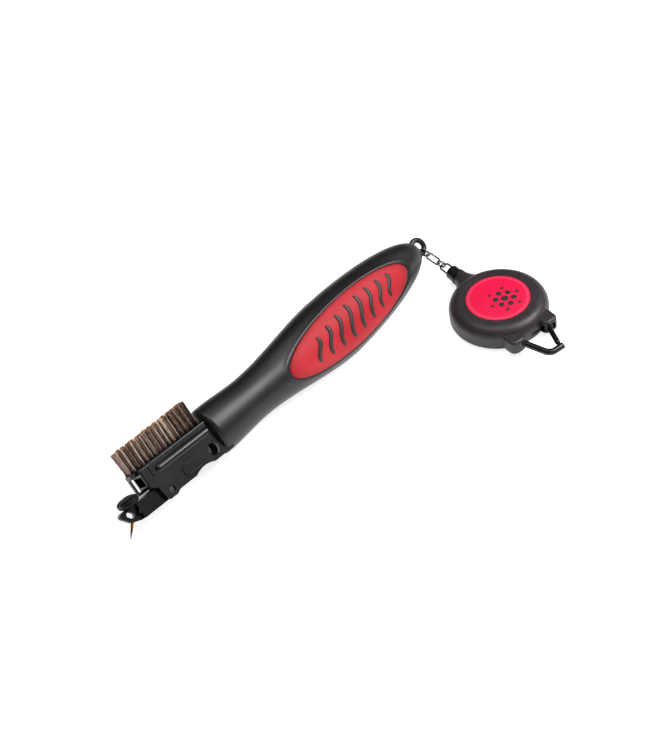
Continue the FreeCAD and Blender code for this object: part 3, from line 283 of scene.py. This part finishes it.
def moulded_plastic(name, colour, roughness, grain, grain_depth, scuff=0.12, shine=0.5):
    """Moulded plastic or rubber: spark-eroded grain, cloudy gloss and slightly paler scuffs."""
    n = Nodes(name)
    grain_height = n.noise(grain, detail=2.0)
    cloud = n.noise(90.0, detail=4.0)
    scratches = n.noise(700.0, detail=6.0, roughness=0.75)
    pale = tuple(min(1.0, part * (1 + 2 * scuff) + 0.004) for part in colour)
    shade = n.ramp(n.math("MULTIPLY", cloud, scratches), [(0.18, colour), (0.42, pale)])
    gloss = n.spread(n.math("ADD", n.math("MULTIPLY", cloud, 0.7), n.math("MULTIPLY", scratches, 0.3)),
                     roughness - 0.06, roughness + 0.10)
    normal = n.bump(grain_height, grain_depth)
    return n.set(Base_Color=shade, Roughness=gloss, Normal=normal, Specular_IOR_Level=shine, IOR=1.46)


def grip_rubber():
    """Black over-moulded rubber with a very fine matt grain."""
    return moulded_plastic("grip_rubber", (0.0085, 0.0074, 0.0074), 0.37, 2600.0, 0.030)


def head_plastic():
    return moulded_plastic("head_plastic", (0.0060, 0.0055, 0.0060), 0.27, 1500.0, 0.012)


def arm_plastic():
    """The same plastic as the head, painted deeper black as shade from the head above it, and less
    shiny, on the spike arm.
    """
    return moulded_plastic("arm_plastic", (0.0040, 0.0037, 0.0040), 0.34, 1500.0, 0.012, 0.06, 0.22)


def case_plastic():
    """The reel's satin, slightly warm black."""
    return moulded_plastic("case_plastic", (0.026, 0.020, 0.023), 0.42, 1900.0, 0.030)


def pad_rubber():
    return moulded_plastic("pad_rubber", (0.0035, 0.0035, 0.004), 0.46, 2200.0, 0.03, 0.05, 0.18)


def core_plastic():
    return moulded_plastic("core_plastic", (0.011, 0.010, 0.010), 0.26, 1800.0, 0.015)


def spool_plastic():
    return moulded_plastic("spool_plastic", (0.32, 0.32, 0.33), 0.4, 1200.0, 0.02)


def inlay_red():
    """Soft red rubber with a fine pebble grain, darkened towards the rim by painted shade where the
    edge rolls into the seam.
    """
    n = Nodes("inlay_red")
    cloud = n.noise(45.0, detail=3.0)
    fine = n.noise(1500.0, detail=4.0, roughness=0.7)
    rim = n.attribute("rim")
    tone = n.math("ADD", n.math("MULTIPLY", cloud, 0.75), n.math("MULTIPLY", fine, 0.25))
    middle = n.ramp(tone, [(0.30, (0.43, 0.014, 0.023)), (0.50, (0.52, 0.023, 0.034)),
                           (0.70, (0.59, 0.034, 0.045))])
    # Painted shade: the colour darkens towards the rim, where the edge rolls into the seam.
    shade = n.mix(n.ramp(rim, [(0.84, (0, 0, 0)), (1.0, (0.6, 0.6, 0.6))]), middle,
                  (0.20, 0.006, 0.012, 1.0))
    pebbles = n.bump(n.cells(2400.0), 0.035)
    normal = n.bump(fine, 0.02, under=pebbles)
    return n.set(Base_Color=shade, Roughness=n.spread(cloud, 0.44, 0.56), Normal=normal,
                 Specular_IOR_Level=0.22, Subsurface_Weight=0.08, Subsurface_Scale=0.0015,
                 Subsurface_Radius=(1.0, 0.25, 0.2), IOR=1.48)


def disc_red():
    """The domed crimson lens: flat ink below a clear polished dome, with a painted highlight as a
    paler ring at its edge.
    """
    n = Nodes("disc_red")
    flat = n.vector_math("MULTIPLY", n.place, (1.0, 1.0, 0.0))
    edge = n.math("DIVIDE", n.vector_math("LENGTH", flat), DISC_RADIUS * MM)
    cloud = n.noise(60.0, detail=2.0)
    specks = n.noise(2500.0, detail=3.0, roughness=0.8)
    shade = n.ramp(n.math("ADD", n.math("MULTIPLY", cloud, 0.8), n.math("MULTIPLY", specks, 0.2)),
                   [(0.30, (0.80, 0.006, 0.060)), (0.70, (0.88, 0.011, 0.078))])
    # A painted highlight: a paler pink ring where the dome's edge catches the light.
    ring = n.ramp(edge, [(0.86, (0.0, 0.0, 0.0)), (0.90, (0.8, 0.8, 0.8)),
                         (0.955, (0.8, 0.8, 0.8)), (0.98, (0.0, 0.0, 0.0))])
    shade = n.mix(ring, shade, (0.82, 0.055, 0.115, 1.0))
    return n.set(Base_Color=shade, Roughness=n.spread(specks, 0.34, 0.46), Coat_Weight=0.15,
                 Coat_Roughness=0.10, Specular_IOR_Level=0.35, IOR=1.5,
                 Normal=n.bump(n.noise(500.0), 0.006))


def ink_black():
    """Dark grey pad-printed relief."""
    return moulded_plastic("ink_black", (0.035, 0.022, 0.020), 0.45, 2500.0, 0.02)


def metal(name, dark, light, roughness):
    """Plated wire with drawing marks, tarnish in patches and uneven gloss."""
    n = Nodes(name)
    patches = n.noise(350.0, detail=5.0, roughness=0.7)
    marks = n.noise(900.0, detail=4.0, roughness=0.8)
    shade = n.ramp(patches, [(0.35, dark), (0.62, light)])
    gloss = n.spread(marks, roughness - 0.08, roughness + 0.15)
    return n.set(Base_Color=shade, Metallic=1.0, Roughness=gloss, Normal=n.bump(marks, 0.012))


def bristle_bronze():
    """Phosphor bronze wire: each wire has its own tone, the palest tones being painted glints; painted
    shade darkens it low down among the roots and a painted highlight brightens the tip.
    """
    n = Nodes("bristle_bronze")
    tarnish = n.noise(1600.0, detail=4.0, roughness=0.7)
    # The near-white top of this ramp is painted glints, not the colour of the wire.
    wire = n.ramp(n.attribute("tone"),
                  [(0.0, (0.05, 0.029, 0.023)), (0.30, (0.20, 0.125, 0.098)),
                   (0.60, (0.50, 0.345, 0.280)), (0.85, (0.86, 0.68, 0.57)), (1.0, (1.0, 0.94, 0.86))])
    # Painted shade darkens the wires towards their roots, and a painted highlight brightens their
    # tips.
    tip = n.ramp(n.attribute("height"),
                 [(0.0, (0.25, 0.24, 0.24)), (0.25, (0.90, 0.88, 0.88)),
                  (0.88, (1.0, 0.95, 0.90)), (1.0, (1.25, 0.90, 0.62))])
    shade = n.vector_math("MULTIPLY", wire, tip)
    stained = n.mix(n.spread(tarnish, 0.0, 0.35), shade, (0.06, 0.036, 0.026, 1.0))
    return n.set(Base_Color=stained, Metallic=0.35, Roughness=n.spread(tarnish, 0.28, 0.50),
                 Normal=n.bump(tarnish, 0.01))


def spike_brass():
    """A brass spike, brighter towards its shoulder with a painted glint, and darker along the point.
    """
    n = Nodes("spike_brass")
    low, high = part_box("groove_spike")
    marks = n.noise(1200.0, detail=5.0, roughness=0.75)
    along = n.make("ShaderNodeMapRange", "Result", Value=n.parts(n.place)["Z"],
                   From_Min=low.z, From_Max=high.z)
    # The bright shoulder is a painted glint; the colour darkens towards the point.
    shade = n.ramp(along, [(0.0, (0.10, 0.05, 0.02)), (0.45, (0.30, 0.15, 0.05)),
                           (0.75, (0.86, 0.55, 0.22)), (1.0, (0.95, 0.72, 0.36))])
    return n.set(Base_Color=n.mix(n.spread(marks, 0.0, 0.4), shade, (0.25, 0.13, 0.05, 1.0)),
                 Metallic=1.0, Roughness=n.spread(marks, 0.16, 0.36), Normal=n.bump(marks, 0.01))


def cord_fabric():
    """Black braided cord: two families of strands cross round the cord's axis."""
    n = Nodes("cord_fabric")
    flat = n.make("ShaderNodeMapping", "Vector", Vector=n.place, Rotation=(0.0, 0.0, -REEL_TURN))
    parts = n.parts(flat)
    angle = n.math("ARCTAN2", parts["Y"], n.math("SUBTRACT", parts["Z"], CORD_HEIGHT * MM))
    along = n.math("MULTIPLY", parts["X"], TAU / (BRAID_PITCH * MM))
    turns = n.math("MULTIPLY", angle, 4.0)
    left = n.math("SINE", n.math("ADD", along, turns))
    right = n.math("SINE", n.math("SUBTRACT", along, turns))
    braid = n.math("MULTIPLY", left, right)
    fuzz = n.noise(5000.0, detail=3.0)
    # Painted shade: the colour follows the braid's bump and is darker in its hollows.
    shade = n.ramp(n.spread(braid, 0.25, 0.75),
                   [(0.0, (0.006, 0.006, 0.006)), (1.0, (0.05, 0.05, 0.052))])
    normal = n.bump(fuzz, 0.02, under=n.bump(braid, 0.08))
    return n.set(Base_Color=shade, Roughness=n.spread(fuzz, 0.55, 0.8), Normal=normal,
                 Sheen_Weight=0.3)


MATERIALS = {
    "grip_rubber": grip_rubber(),
    "inlay_red": inlay_red(),
    "head_plastic": head_plastic(),
    "arm_plastic": arm_plastic(),
    "pad_rubber": pad_rubber(),
    "core_plastic": core_plastic(),
    "bronze_wire": bristle_bronze(),
    "spike_brass": spike_brass(),
    "chain_metal": metal("chain_metal", (0.075, 0.072, 0.069), (0.26, 0.25, 0.24), 0.24),
    "steel": metal("steel", (0.045, 0.045, 0.047), (0.13, 0.13, 0.134), 0.30),
    "case_plastic": case_plastic(),
    "disc_red": disc_red(),
    "loop_metal": metal("loop_metal", (0.018, 0.017, 0.017), (0.055, 0.052, 0.050), 0.33),
    "spool_plastic": spool_plastic(),
    "cord_fabric": cord_fabric(),
    "ink": ink_black(),
}


def dress_cad():
    """Every CAD node takes the material of its slot in the record; the arm takes a darker copy of the
    head plastic, painted shade from the head above it.
    """
    for part in frame["record"]["subparts"]:
        item = nodes[part["node"]]
        item.data.materials.clear()
        item.data.materials.append(MATERIALS[part["material_slot"]])
    # Painted shade: the arm gets a darker copy of the head plastic.
    nodes["spike_arm"].data.materials[0] = MATERIALS["arm_plastic"]


# ---------------------------------------------------------------- mesh helpers

def mesh_piece(name, frame_matrix, points, faces, material, body, replaced=()):
    """A mesh from millimetre points in a local frame, riding on a body."""
    data = bpy.data.meshes.new(name)
    data.from_pydata([(frame_matrix @ Vector(point)) * MM for point in points], [], faces)
    data.polygons.foreach_set("use_smooth", [True] * len(data.polygons))
    data.update()
    data.materials.append(MATERIALS[material])
    piece = bpy.data.objects.new(name, data)
    bpy.context.scene.collection.objects.link(piece)
    if body:
        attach(piece, body)
    if replaced:
        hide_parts(*replaced)
    return piece


def paint(piece, name, values):
    """A value per point that the piece's material reads."""
    attribute = piece.data.attributes.new(name, "FLOAT", "POINT")
    attribute.data.foreach_set("value", values)


def ring_faces(rings, sides, closed_start=True):
    """Quads between rings of points, and a polygon at each end.

    They face out where each ring runs anticlockwise as seen from the last ring's end.
    """
    faces = []
    for ring in range(rings - 1):
        for side in range(sides):
            after = (side + 1) % sides
            low = ring * sides
            high = low + sides
            faces.append((low + side, low + after, high + after, high + side))
    if closed_start:
        faces.append(tuple(reversed(range(sides))))
    last = (rings - 1) * sides
    faces.append(tuple(range(last, last + sides)))
    return faces


def sweep(path, radii, sides, flatten=1.0):
    """Rings of points round a path, one radius per path point, thinner along Z by flatten."""
    up = Vector((0, 0, 1))
    points = []
    for index, centre in enumerate(path):
        before = path[max(0, index - 1)]
        after = path[min(len(path) - 1, index + 1)]
        along = (after - before).normalized()
        across = up.cross(along).normalized()
        lift = along.cross(across).normalized()
        for side in range(sides):
            angle = TAU * side / sides
            points.append(centre + across * (radii[index] * math.cos(angle))
                          + lift * (radii[index] * flatten * math.sin(angle)))
    return points


def ease(value):
    value = min(1.0, max(0.0, value))
    return value * value * (3 - 2 * value)


# ---------------------------------------------------------------- grip and inlays

def grip_station(x):
    """Half height, half depth and centre height of the grip at a place along it."""
    if x < WAIST_X:
        share = ease((WAIST_X - x) / (WAIST_X - FLARE_END_X))
        near, far = "waist", "neck"
    elif x < BELLY_X:
        share = ease((x - WAIST_X) / (BELLY_X - WAIST_X))
        near, far = "waist", "belly"
    else:
        share = (1 - ((x - BELLY_X) / TAIL_REACH) ** TAIL_SQUARENESS) ** TAIL_FULLNESS
        return share * HALF_HEIGHT["belly"], share * HALF_DEPTH["belly"], 0.0
    height = HALF_HEIGHT[near] + share * (HALF_HEIGHT[far] - HALF_HEIGHT[near])
    depth = HALF_DEPTH[near] + share * (HALF_DEPTH[far] - HALF_DEPTH[near])
    return height, depth, NECK.y * (BELLY_X - x) / (BELLY_X - NECK_X)


def inlay_ring(x, y):
    """How far a place on the side is out from an inlay's centre: 1 on its edge."""
    return math.hypot((x - INLAY_X) / INLAY_HALF_LENGTH, (y - INLAY_Y) / INLAY_HALF_HEIGHT)


def inlay_seat(x, y):
    """Height of the sleeve over the plain spindle: a sunk seat under the inlay and a soft lip."""
    ring = inlay_ring(x, y)
    seat = -SEAT_DEPTH * (1 - ease((ring - SEAT_EDGE) / SEAT_SLOPE))
    lip = SEAM_LIP * math.exp(-((ring - 1.05) / 0.04) ** 2)
    return seat + lip


def build_grip():
    """The rubber sleeve, with a rolled lip at the neck and a seat for each inlay."""
    length = GRIP_END_X - NECK_X
    places = [NECK_X + length * ease_ends(row / (GRIP_ROWS - 1)) for row in range(GRIP_ROWS)]
    points = []
    for x in places:
        height, depth, centre = grip_station(x)
        lip = min(1.0, max(0.0, NECK_X + LIP - x) / LIP)
        rolled = LIP * (1 - math.sqrt(1 - lip * lip))
        for side in range(GRIP_SIDES):
            angle = TAU * side / GRIP_SIDES
            y = (height - rolled) * math.cos(angle)
            z = (depth - rolled) * math.sin(angle)
            facing_side = ease((abs(math.sin(angle)) - 0.3) / 0.3)
            relief = inlay_seat(x, centre + y) * facing_side
            scale = 1 + relief / math.hypot(y, z)
            points.append((x, centre + y * scale, z * scale))
    mesh_piece("grip_skin", BRUSH, points, ring_faces(GRIP_ROWS, GRIP_SIDES), "grip_rubber", "brush",
               ("grip_sleeve",))


def ease_ends(share):
    """Even spacing in the middle and closer rows at the rounded ends."""
    return 0.6 * share + 0.4 * (1 - math.cos(math.pi * share)) / 2


def on_inlay(x, y, side, proud):
    """A point on an inlay's crowned face, on the near (1) or far (-1) side."""
    height, depth, centre = grip_station(x)
    rise = (y - centre) / height
    z = depth * math.sqrt(max(0.0, 1 - rise * rise))
    normal = Vector((0.0, rise / height, (z / depth) / depth)).normalized()
    point = Vector((x, y, z)) + normal * proud
    return Vector((point.x, point.y, point.z * side))


def build_inlay(side, name, replaced):
    """A crowned red oval whose edge rolls over into the seam."""
    sides = 300
    roll_start = 0.945
    roll_width = 0.04
    roll_depth = 0.55
    foot = 0.03 - SEAT_DEPTH
    rings = [(share, INLAY_PROUD) for share in (0.12, 0.24, 0.36, 0.48, 0.60, 0.70, 0.80, 0.88, 0.93)]
    for step in range(9):
        angle = math.pi / 2 * step / 8
        rings.append((roll_start + roll_width * math.sin(angle),
                      INLAY_PROUD - roll_depth * (1 - math.cos(angle))))
    rings.append((roll_start + roll_width, foot))
    points = [on_inlay(INLAY_X, INLAY_Y, side, INLAY_PROUD)]
    for share, proud in rings:
        for step in range(sides):
            angle = TAU * step / sides
            x = INLAY_X + INLAY_HALF_LENGTH * share * math.cos(angle)
            y = INLAY_Y + INLAY_HALF_HEIGHT * share * math.sin(angle)
            points.append(on_inlay(x, y, side, proud))
    faces = [(0, 1 + (step + 1) % sides, 1 + step) for step in range(sides)]
    faces += [tuple(index + 1 for index in face)
              for face in ring_faces(len(rings), sides, closed_start=False)]
    if side > 0:
        faces = [tuple(reversed(face)) for face in faces]
    piece = mesh_piece(name, BRUSH, points, faces, "inlay_red", "brush", (replaced,))
    paint(piece, "rim", [0.0] + [share for share, _ in rings for _ in range(sides)])


def build_tread(side, name):
    """A row of raised, S-shaped anti-slip bars down the middle of an inlay."""
    points = []
    faces = []
    sides = 10
    steps = 26
    for bar in range(TREAD_BARS):
        share = bar / (TREAD_BARS - 1)
        middle = TREAD_START_X + TREAD_LENGTH * share
        reach = TREAD_REACH + TREAD_REACH_GAIN * math.sin(math.pi * share)
        path = []
        radii = []
        for step in range(steps):
            along = 2 * step / (steps - 1) - 1
            x = middle + 1.4 * along + 1.1 * math.sin(math.pi * along)
            y = INLAY_Y + reach * along
            path.append(on_inlay(x, y, side, INLAY_PROUD - 0.04))
            radii.append(TREAD_RADIUS * math.sqrt(max(0.02, 1 - along ** 6)))
        start = len(points)
        points += sweep(path, radii, sides, TREAD_FLATNESS)
        faces += [tuple(start + index for index in face) for face in ring_faces(steps, sides)]
    mesh_piece(name, BRUSH, points, faces, "ink", "brush")


# ---------------------------------------------------------------- bristles

def build_bristles():
    """Two rows of tufts of crimped bronze wire that spread a little towards their tips."""
    draw = random.Random(11)
    points = []
    faces = []
    tones = []
    heights = []
    for row in range(TUFTS_LONG):
        for column in range(TUFTS_WIDE):
            x = TUFT_MIDDLE_X + TUFT_PITCH * (row - (TUFTS_LONG - 1) / 2)
            z = TUFT_ROW_PITCH * (column - (TUFTS_WIDE - 1) / 2)
            lean = Vector((draw.gauss(0, 0.16), 0, draw.gauss(0, 0.12)))
            # Random tone per tuft, plus a painted highlight on the front row where light would fall on
            # the nose end of the block.
            tuft_tone_and_front_highlight = draw.uniform(-0.16, 0.16) + (0.30 if row == 0 else 0.0)
            top = TUFT_TOP_Y - 0.35 + 0.35 * row / TUFTS_LONG + draw.gauss(0, 0.10)
            for _ in range(WIRES):
                start = len(points)
                points += bristle(draw, x, z, lean, top)
                tone = min(1.0, max(0.0, draw.gauss(0.45, 0.28) + tuft_tone_and_front_highlight))
                tones += [tone] * (WIRE_RINGS * WIRE_SIDES)
                for ring in range(WIRE_RINGS):
                    heights += [ring / (WIRE_RINGS - 1)] * WIRE_SIDES
                faces += [tuple(start + index for index in face)
                          for face in ring_faces(WIRE_RINGS, WIRE_SIDES)]
    piece = mesh_piece("bristle_wires", HEAD, points, faces, "bronze_wire", "brush",
                       ("bristle_tufts",))
    paint(piece, "tone", tones)
    paint(piece, "height", heights)


def bristle(draw, x, z, lean, top):
    """Rings of points round one crimped wire of a tuft."""
    angle = draw.uniform(0, TAU)
    out = math.sqrt(draw.random())
    way = Vector((math.cos(angle), 0, math.sin(angle)))
    base = Vector((x, TUFT_BASE_Y, z)) + TUFT_RADIUS * out * way
    flare = TUFT_FLARE * out * way + lean + Vector((draw.gauss(0, 0.08), 0, draw.gauss(0, 0.08)))
    top += draw.gauss(0, 0.18)
    phase = draw.uniform(0, TAU)
    crimp_way = draw.uniform(0, TAU)
    crimp = Vector((math.cos(crimp_way), 0, math.sin(crimp_way))) * draw.uniform(0.03, 0.09)
    points = []
    for ring in range(WIRE_RINGS):
        share = ring / (WIRE_RINGS - 1)
        centre = base + flare * share * share + crimp * math.sin(phase + TAU * 3.2 * share)
        centre.y = TUFT_BASE_Y + (top - TUFT_BASE_Y) * share
        radius = WIRE_RADIUS if ring < WIRE_RINGS - 1 else 0.6 * WIRE_RADIUS
        for side in range(WIRE_SIDES):
            turn = TAU * side / WIRE_SIDES
            points.append(centre + Vector((radius * math.sin(turn), 0, radius * math.cos(turn))))
    return points


# ---------------------------------------------------------------- thumb pad

def build_thumb_pad():
    """A soft knob, long across the arm, with round studs over it."""
    rows = 120
    sides = 240
    points = []
    for row in range(rows):
        tilt = math.pi * (row + 0.5) / rows
        for side in range(sides):
            turn = TAU * side / sides
            way = Vector((math.sin(tilt) * math.cos(turn), math.cos(tilt),
                          math.sin(tilt) * math.sin(turn)))
            point = Vector([math.copysign(abs(part) ** PAD_SQUARENESS, part) * half
                            for part, half in zip(way, PAD_HALF)])
            stud = math.cos(TAU * point.x / STUD_PITCH) * math.cos(TAU * point.z / STUD_PITCH)
            lift = STUD_HEIGHT * ease((stud - 0.05) / 0.6) * ease((point.y - 0.1) / 0.8)
            point += way * (lift - STUD_SINK)
            point.y = max(point.y, PAD_FLOOR_Y - PAD_CENTRE.y)
            points.append(PAD_CENTRE + point)
    mesh_piece("thumb_pad_skin", HEAD, points, ring_faces(rows, sides), "pad_rubber", "spike_arm",
               ("thumb_pad",))


# ---------------------------------------------------------------- cord and disc

def build_cord():
    """The braided cord, a fixed straight run out of the mouth."""
    rings = 400
    sides = 20
    pitch = (CORD_END_X - CORD_START_X) / (rings - 1)
    path = [Vector((CORD_START_X + pitch * ring, 0, CORD_HEIGHT)) for ring in range(rings)]
    piece = mesh_piece("cord_braid", REEL, sweep(path, [CORD_RADIUS] * rings, sides),
                       ring_faces(rings, sides), "cord_fabric", None,
                       ("pull_cord",))
    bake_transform(piece)


def build_disc_mark():
    """A hexagonal cluster of dark dimples, off centre on the crimson disc."""
    ball = (DISC_RADIUS ** 2 + DISC_CROWN ** 2) / (2 * DISC_CROWN)
    ball_centre = CASE_HEIGHT + DISC_CROWN - ball
    spots = [(0.0, 0.0, 1.45)]
    for ring_radius, size, first_step in ((3.5, 1.15, 0.0), (6.0, 0.70, 0.5)):
        for step in range(6):
            angle = TAU * (step + first_step) / 6
            spots.append((ring_radius * math.cos(angle), ring_radius * math.sin(angle), size))
    points = []
    faces = []
    sides = 28
    for across, up, size in spots:
        start = len(points)
        for share, lift in ((1.0, -0.05), (1.0, 0.03), (0.93, 0.07), (0.6, DIMPLE_HEIGHT)):
            for side in range(sides):
                angle = TAU * side / sides
                x = DIMPLE_CENTRE[0] + across + size * share * math.cos(angle)
                y = DIMPLE_CENTRE[1] + up + size * share * math.sin(angle)
                z = ball_centre + math.sqrt(ball ** 2 - x * x - y * y)
                points.append((x, y, z + lift))
        faces += [tuple(start + index for index in face) for face in ring_faces(4, sides)]
    mesh_piece("disc_dimples", REEL, points, faces, "ink", "reel")


# ---------------------------------------------------------------- stage

def build_stage():
    """A white table that glows a little, so that only a faint shadow shows."""
    low = cad_low.z - FLOOR_GAP
    data = bpy.data.meshes.new("floor")
    corners = [(x * FLOOR_HALF, y * FLOOR_HALF, low) for x, y in ((-1, -1), (1, -1), (1, 1), (-1, 1))]
    data.from_pydata(corners, [], [(0, 1, 2, 3)])
    floor = bpy.data.objects.new("floor", data)
    bpy.context.scene.collection.objects.link(floor)
    n = Nodes("floor_white")
    tone = n.ramp(n.noise(6.0, detail=2.0), [(0.3, (0.70, 0.70, 0.70)), (0.7, (0.74, 0.74, 0.74))])
    data.materials.append(n.set(Base_Color=tone, Roughness=0.9, Emission_Color=(1, 1, 1, 1),
                                Emission_Strength=FLOOR_GLOW, Specular_IOR_Level=0.1))


def soft_box(name, direction, distance, size, power):
    """A rectangular light that looks at the middle of the object from a direction."""
    light = bpy.data.lights.new(name, "AREA")
    light.shape = "RECTANGLE"
    light.size, light.size_y = size
    light.energy = power
    item = bpy.data.objects.new(name, light)
    bpy.context.scene.collection.objects.link(item)
    away = Vector(direction).normalized()
    item.location = LOOK_AT + away * distance
    item.rotation_mode = "QUATERNION"
    item.rotation_quaternion = away.to_track_quat("Z", "Y")


def build_lights():
    """A soft box high on the right, a weak one overhead and a room darker behind than in front."""
    soft_box("key", (0.47, -0.44, 0.77), 0.8, (0.36, 0.30), 6.0)
    soft_box("top", (0.0, 0.1, 1.0), 0.9, (0.6, 0.6), 3.0)
    world = bpy.data.worlds.new("studio")
    world.use_nodes = True
    tree = world.node_tree
    place = tree.nodes.new("ShaderNodeTexCoord")
    parts = tree.nodes.new("ShaderNodeSeparateXYZ")
    shade = tree.nodes.new("ShaderNodeMapRange")
    shade.inputs["From Min"].default_value = -1.0
    shade.inputs["From Max"].default_value = 0.3
    shade.inputs["To Min"].default_value = ROOM_FRONT
    shade.inputs["To Max"].default_value = ROOM_BACK
    tree.links.new(place.outputs["Generated"], parts.inputs[0])
    tree.links.new(parts.outputs["Y"], shade.inputs["Value"])
    tree.links.new(shade.outputs["Result"], tree.nodes["Background"].inputs["Strength"])
    tree.nodes["Background"].inputs["Color"].default_value = (1.0, 1.0, 1.0, 1.0)
    bpy.context.scene.world = world
    bpy.context.scene.view_settings.view_transform = "Standard"


def build_camera():
    """The camera looks down along the brush from the nose side, rolled a little clockwise."""
    data = bpy.data.cameras.new("camera")
    data.sensor_fit = "HORIZONTAL"
    data.sensor_width = 36.0
    data.lens = CAMERA_LENS
    data.clip_start = 0.05
    data.clip_end = 20.0
    camera = bpy.data.objects.new("camera", data)
    bpy.context.scene.collection.objects.link(camera)
    level_reach = math.cos(CAMERA_ELEVATION)
    back = Vector((level_reach * math.cos(CAMERA_AZIMUTH), level_reach * math.sin(CAMERA_AZIMUTH),
                   math.sin(CAMERA_ELEVATION)))
    camera.location = LOOK_AT + back * CAMERA_DISTANCE
    level = back.to_track_quat("Z", "Y").to_matrix().to_4x4()
    aimed = level @ turned("Z", CAMERA_ROLL)
    camera.rotation_mode = "QUATERNION"
    camera.rotation_quaternion = aimed.to_quaternion()
    bpy.context.scene.camera = camera


dress_cad()
build_grip()
build_inlay(1, "inlay_near_skin", "oval_inlay_near")
build_inlay(-1, "inlay_far_skin", "oval_inlay_far")
build_tread(1, "tread_near")
build_tread(-1, "tread_far")
build_bristles()
build_thumb_pad()
build_cord()
build_disc_mark()
build_stage()
build_lights()
build_camera()
